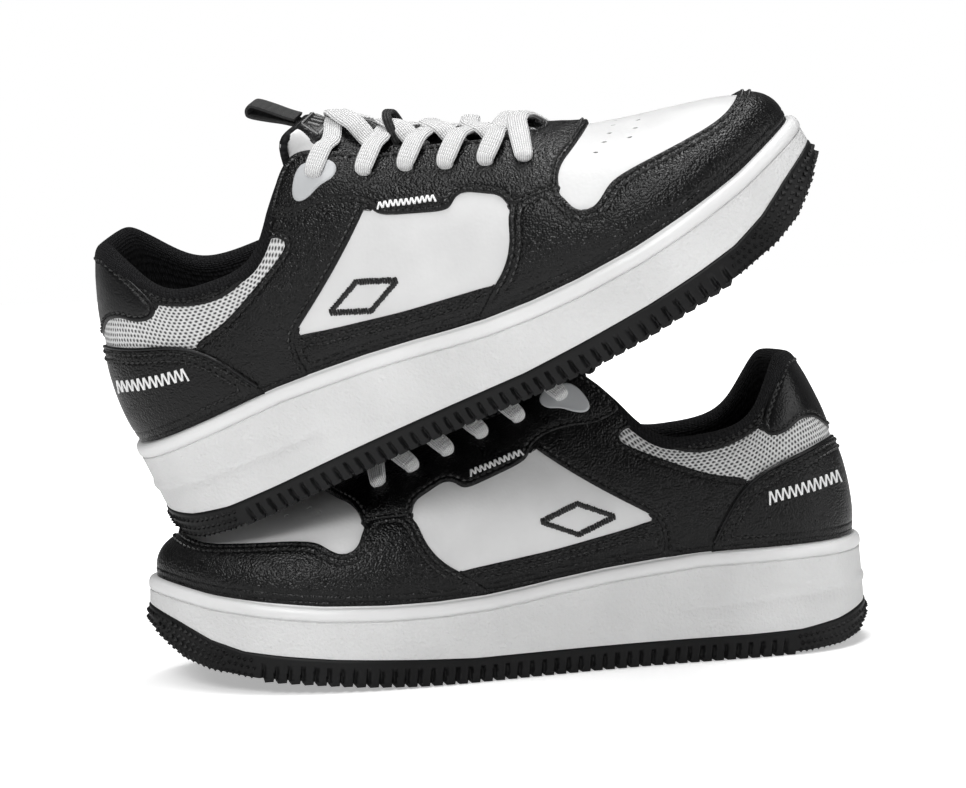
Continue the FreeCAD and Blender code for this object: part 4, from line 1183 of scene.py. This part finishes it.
for shoe in ("left", "right"):
    mesh = MADE[shoe, "midsole"].data
    mesh.materials.append(LIP_RUBBER)
    for polygon in mesh.polygons:
        if min(polygon.vertices) // COARSE >= lip_from:
            polygon.material_index = 1

# ------------------------------------------------------------------ outsole
RIB, RIB_GAP, TREAD = 5.1, 1.7, 1.3
_, ring = sole_ring(FINE)
ring_x = ring[:, 0]
split, ground = height_at(SPLIT, ring_x), height_at(GROUND, ring_x)
tread = ground + TREAD
ribbed = np.clip((ring_x - 43) / 3, 0, 1) * np.clip((263 - ring_x) / 3, 0, 1)
groove_top = ground + np.minimum(6.6, (split - ground) * 0.72)
rows = []
for share in (0.0, 0.12, 0.3, 0.5, 0.66, 0.76, 0.84, 0.92, 0.97, 1.0):
    z = tread + (split - 0.1 - tread) * share
    phase = (ring_x + (z - tread) * 0.18) / RIB
    away = np.abs(phase - np.round(phase)) * RIB
    groove = np.clip((0.95 - away) / 0.4, 0, 1) * ribbed * np.clip((groove_top - z) / 0.8, 0, 1)
    rows.append(wall(ring, z, 0.35 - 1.5 * groove - {0.97: 0.25, 1.0: 0.7}.get(share, 0.0)))
first, closing_rows = rows[0], []
for profile, rise, shares in ((GROUND, TREAD, (1.0, 0.7, 0.35)), (SPLIT, -0.1, (0.35, 0.7, 1.0))):
    for share in shares:
        flat = toward_spine(first, share)
        closing_rows.append(np.column_stack([flat[:, :2], height_at(profile, flat[:, 0]) + rise]))
body = np.array(closing_rows[:3] + rows + closing_rows[3:])
out_parts = Parts()
out_parts.add(body, grid_faces(len(body), FINE, wrap_columns=True))


def half_width(x, side):
    """The sole's half width at x on one side."""
    chosen = ring[:, 1] * side > 0
    order = np.argsort(ring_x[chosen])
    return float(np.interp(x, ring_x[chosen][order], np.abs(ring[chosen, 1])[order])) - 0.1


def bar_block(x, width, zig):
    """A tread bar across the sole, bent in a zigzag, from the ground to the tread's floor."""
    low, high = [], []
    for t in np.linspace(-1, 1, 15):
        y = t * half_width(x, 1 if t >= 0 else -1)
        middle = x + zig * (1 - abs((abs(t) * 3) % 2 - 1)) * 2.2 * (1 - abs(t) ** 4)
        for corners, rise, widen in ((low, 0.05, 0.0), (high, 1.6, 0.3)):
            z, reach = float(height_at(GROUND, x)) + rise, width / 2 + widen
            corners += [(middle - reach, y, z), (middle + reach, y, z)]
    top = len(low)
    faces = []
    for a in range(0, top - 2, 2):
        b, c, d = a + 1, a + 3, a + 2
        faces += [(a, d, c, b), (a + top, b + top, c + top, d + top), (a, a + top, d + top, d),
                  (b, c, c + top, b + top)]
    faces += [(0, 1, 1 + top, top), (top - 2, 2 * top - 2, 2 * top - 1, top - 1)]
    return low + high, faces


for k in range(int(math.ceil(40 / RIB)), int(264 / RIB)):
    out_parts.add(*bar_block((k + 0.5) * RIB, RIB - RIB_GAP, 1 if 60 < k * RIB < 250 else 0))


def stud(centre, along, out, radius=1.15, height=1.25):
    """A small pyramid on the outsole's edge."""
    up = np.array([0, 0, 1.0])
    corners = [centre + along * radius, centre + up * radius, centre - along * radius, centre - up * radius]
    out_parts.add(corners + [centre + out * height, centre - out * 0.6],
                  [(0, 1, 4), (1, 2, 4), (2, 3, 4), (3, 0, 4), (1, 0, 5), (2, 1, 5), (3, 2, 5), (0, 3, 5)])


STUD_SPACING, STUD_PITCH = 2.6, 2.5
for low_x, high_x in ((-2, 41), (262, 306)):
    walk = 0.0
    for i in np.nonzero((ring_x > low_x) & (ring_x < high_x))[0]:
        walk += float(np.linalg.norm(ring[i] - ring[i - 1]))
        if walk < STUD_SPACING:
            continue
        walk = 0.0
        out = np.append(outward[int(i * COARSE / FINE)], 0.0)
        out /= np.linalg.norm(out)
        along = np.array([-out[1], out[0], 0.0])
        lo, hi = tread[i] - 1.0, split[i] - 1.4
        count = int((hi - lo) / STUD_PITCH)
        for k in range(count):
            base = wall(ring[i:i + 1], lo + (hi - lo) * (k + 0.5) / count, 0.3)[0]
            stud(base + along * (STUD_PITCH / 2 if k % 2 else 0), along, out)
place("outsole", out_parts.get(), "shoe", BLACK_RUBBER, ["outsole"])

# ------------------------------------------------------------------ sockliner
FEW = 160
_, ring = sole_ring(FEW)
rows = []
# distance in from the sole's outline, height
for distance, level in ((60, 36.4), (24, 36.5), (16, 37.2), (13.4, 37.9), (12.7, 37.4), (12.5, 35.0),
                        (12.8, 31.3), (30, 31.2), (60, 31.2)):
    rows.append(np.stack([*inset(ring[:, 0], ring[:, 1], distance), np.full(FEW, level)], 1))
rows = np.array(rows)
place("sockliner", (rows.reshape(-1, 3), grid_faces(len(rows), FEW, wrap_columns=True),
                    rows[..., :2].reshape(-1, 2)), "shoe", DARK_CLOTH, ["sockliner"],
      flip=True)

# ------------------------------------------------------------------ materials for the shown CAD nodes: insole board, toe puff and heel counter
for shoe in ("left", "right"):
    for node, material in (("insole_board", BOARD), ("toe_puff", STIFFENER), ("heel_counter", STIFFENER)):
        cad = frame["nodes"][shoe + "_" + node]
        cad.data.materials.clear()
        cad.data.materials.append(material)

# ------------------------------------------------------------------ floor, light and camera
floor_mesh = bpy.data.meshes.new("floor")
floor_mesh.from_pydata([(-4, -4, 0), (4, -4, 0), (4, 4, 0), (-4, 4, 0)], [], [(0, 1, 2, 3)])
floor = bpy.data.objects.new("floor", floor_mesh)
bpy.context.scene.collection.objects.link(floor)
floor.location = (0, 0, -0.0003)
n = Nodes("pale floor")
floor_mesh.materials.append(n.finish(n.ramp(n.noise(3, 2), [(0.3, grey(0.9)), (0.7, grey(0.93))]), 0.8,
                                     Emission_Color=(1, 1, 1, 1), Specular_IOR_Level=0.2))
# the floor glows with painted light, weaker near the shoes and full far away: the camera sees the floor fade
# into the white backdrop, and other rays see it darker, like a lit sheet
reach = n.node("ShaderNodeVectorMath", operation="LENGTH")
n.link(n.coordinates(), reach.inputs[0])
far = n.ramp(reach.outputs["Value"], [(0.2, grey(0.42)), (0.55, grey(1.0))])
camera_ray = n.node("ShaderNodeLightPath").outputs["Is Camera Ray"]
seen_only = n.math("ADD", n.math("MULTIPLY", camera_ray, 0.85), 0.15)
n.link(n.math("MULTIPLY", far, seen_only), n.shader.inputs["Emission Strength"])

world = bpy.data.worlds.new("studio")
bpy.context.scene.world = world
world.use_nodes = True
sky = world.node_tree
sky.nodes["Background"].inputs[0].default_value = (1, 1, 1, 1)
sky.nodes["Background"].inputs[1].default_value = 0.16
seen = sky.nodes.new("ShaderNodeBackground")
seen.inputs[1].default_value = 1.0
seen.inputs[0].default_value = (1, 1, 1, 1)
path_node, mixed = sky.nodes.new("ShaderNodeLightPath"), sky.nodes.new("ShaderNodeMixShader")
sky.links.new(path_node.outputs["Is Camera Ray"], mixed.inputs[0])
sky.links.new(sky.nodes["Background"].outputs[0], mixed.inputs[1])
sky.links.new(seen.outputs[0], mixed.inputs[2])
sky.links.new(mixed.outputs[0], sky.nodes["World Output"].inputs[0])


def area_light(name, place_at, target, width, height, power):
    data = bpy.data.lights.new(name, "AREA")
    data.shape, data.size, data.size_y, data.energy = "RECTANGLE", width, height, power
    light = bpy.data.objects.new(name, data)
    bpy.context.scene.collection.objects.link(light)
    light.location = place_at
    light.rotation_mode = "QUATERNION"
    light.rotation_quaternion = (Vector(target) - Vector(place_at)).to_track_quat("-Z", "Y")


area_light("key", (-0.55, -1.0, 0.9), (0, 0, 0.1), 0.6, 0.4, 9.0)
area_light("top", (0.1, 0.05, 1.2), (0, 0, 0.1), 0.7, 0.4, 7)
area_light("fill", (1.1, -0.6, 0.45), (0, 0, 0.1), 0.7, 0.7, 3.5)
sun_data = bpy.data.lights.new("sun", "SUN")
sun_data.energy, sun_data.angle = 0.9, math.radians(40)
sun = bpy.data.objects.new("sun", sun_data)
bpy.context.scene.collection.objects.link(sun)
sun.rotation_euler = (math.radians(14), math.radians(-12), 0)

camera_data = bpy.data.cameras.new("camera")
camera_data.lens, camera_data.sensor_width, camera_data.sensor_fit = 92.05, 36.0, "HORIZONTAL"
camera_data.clip_start, camera_data.clip_end = 0.05, 20
camera = bpy.data.objects.new("camera", camera_data)
bpy.context.scene.collection.objects.link(camera)
forward, up = Vector((0.1447, 0.986, -0.0832)).normalized(), Vector((0.052, 0.0764, 0.9957)).normalized()
right = forward.cross(up).normalized()
up = right.cross(forward)
camera.matrix_world = Matrix(((right.x, up.x, -forward.x, -0.1506), (right.y, up.y, -forward.y, -0.9743),
                              (right.z, up.z, -forward.z, 0.1957), (0, 0, 0, 1)))
bpy.context.scene.camera = camera
bpy.context.scene.view_settings.view_transform = "Standard"
bpy.context.scene.view_settings.gamma = 0.92
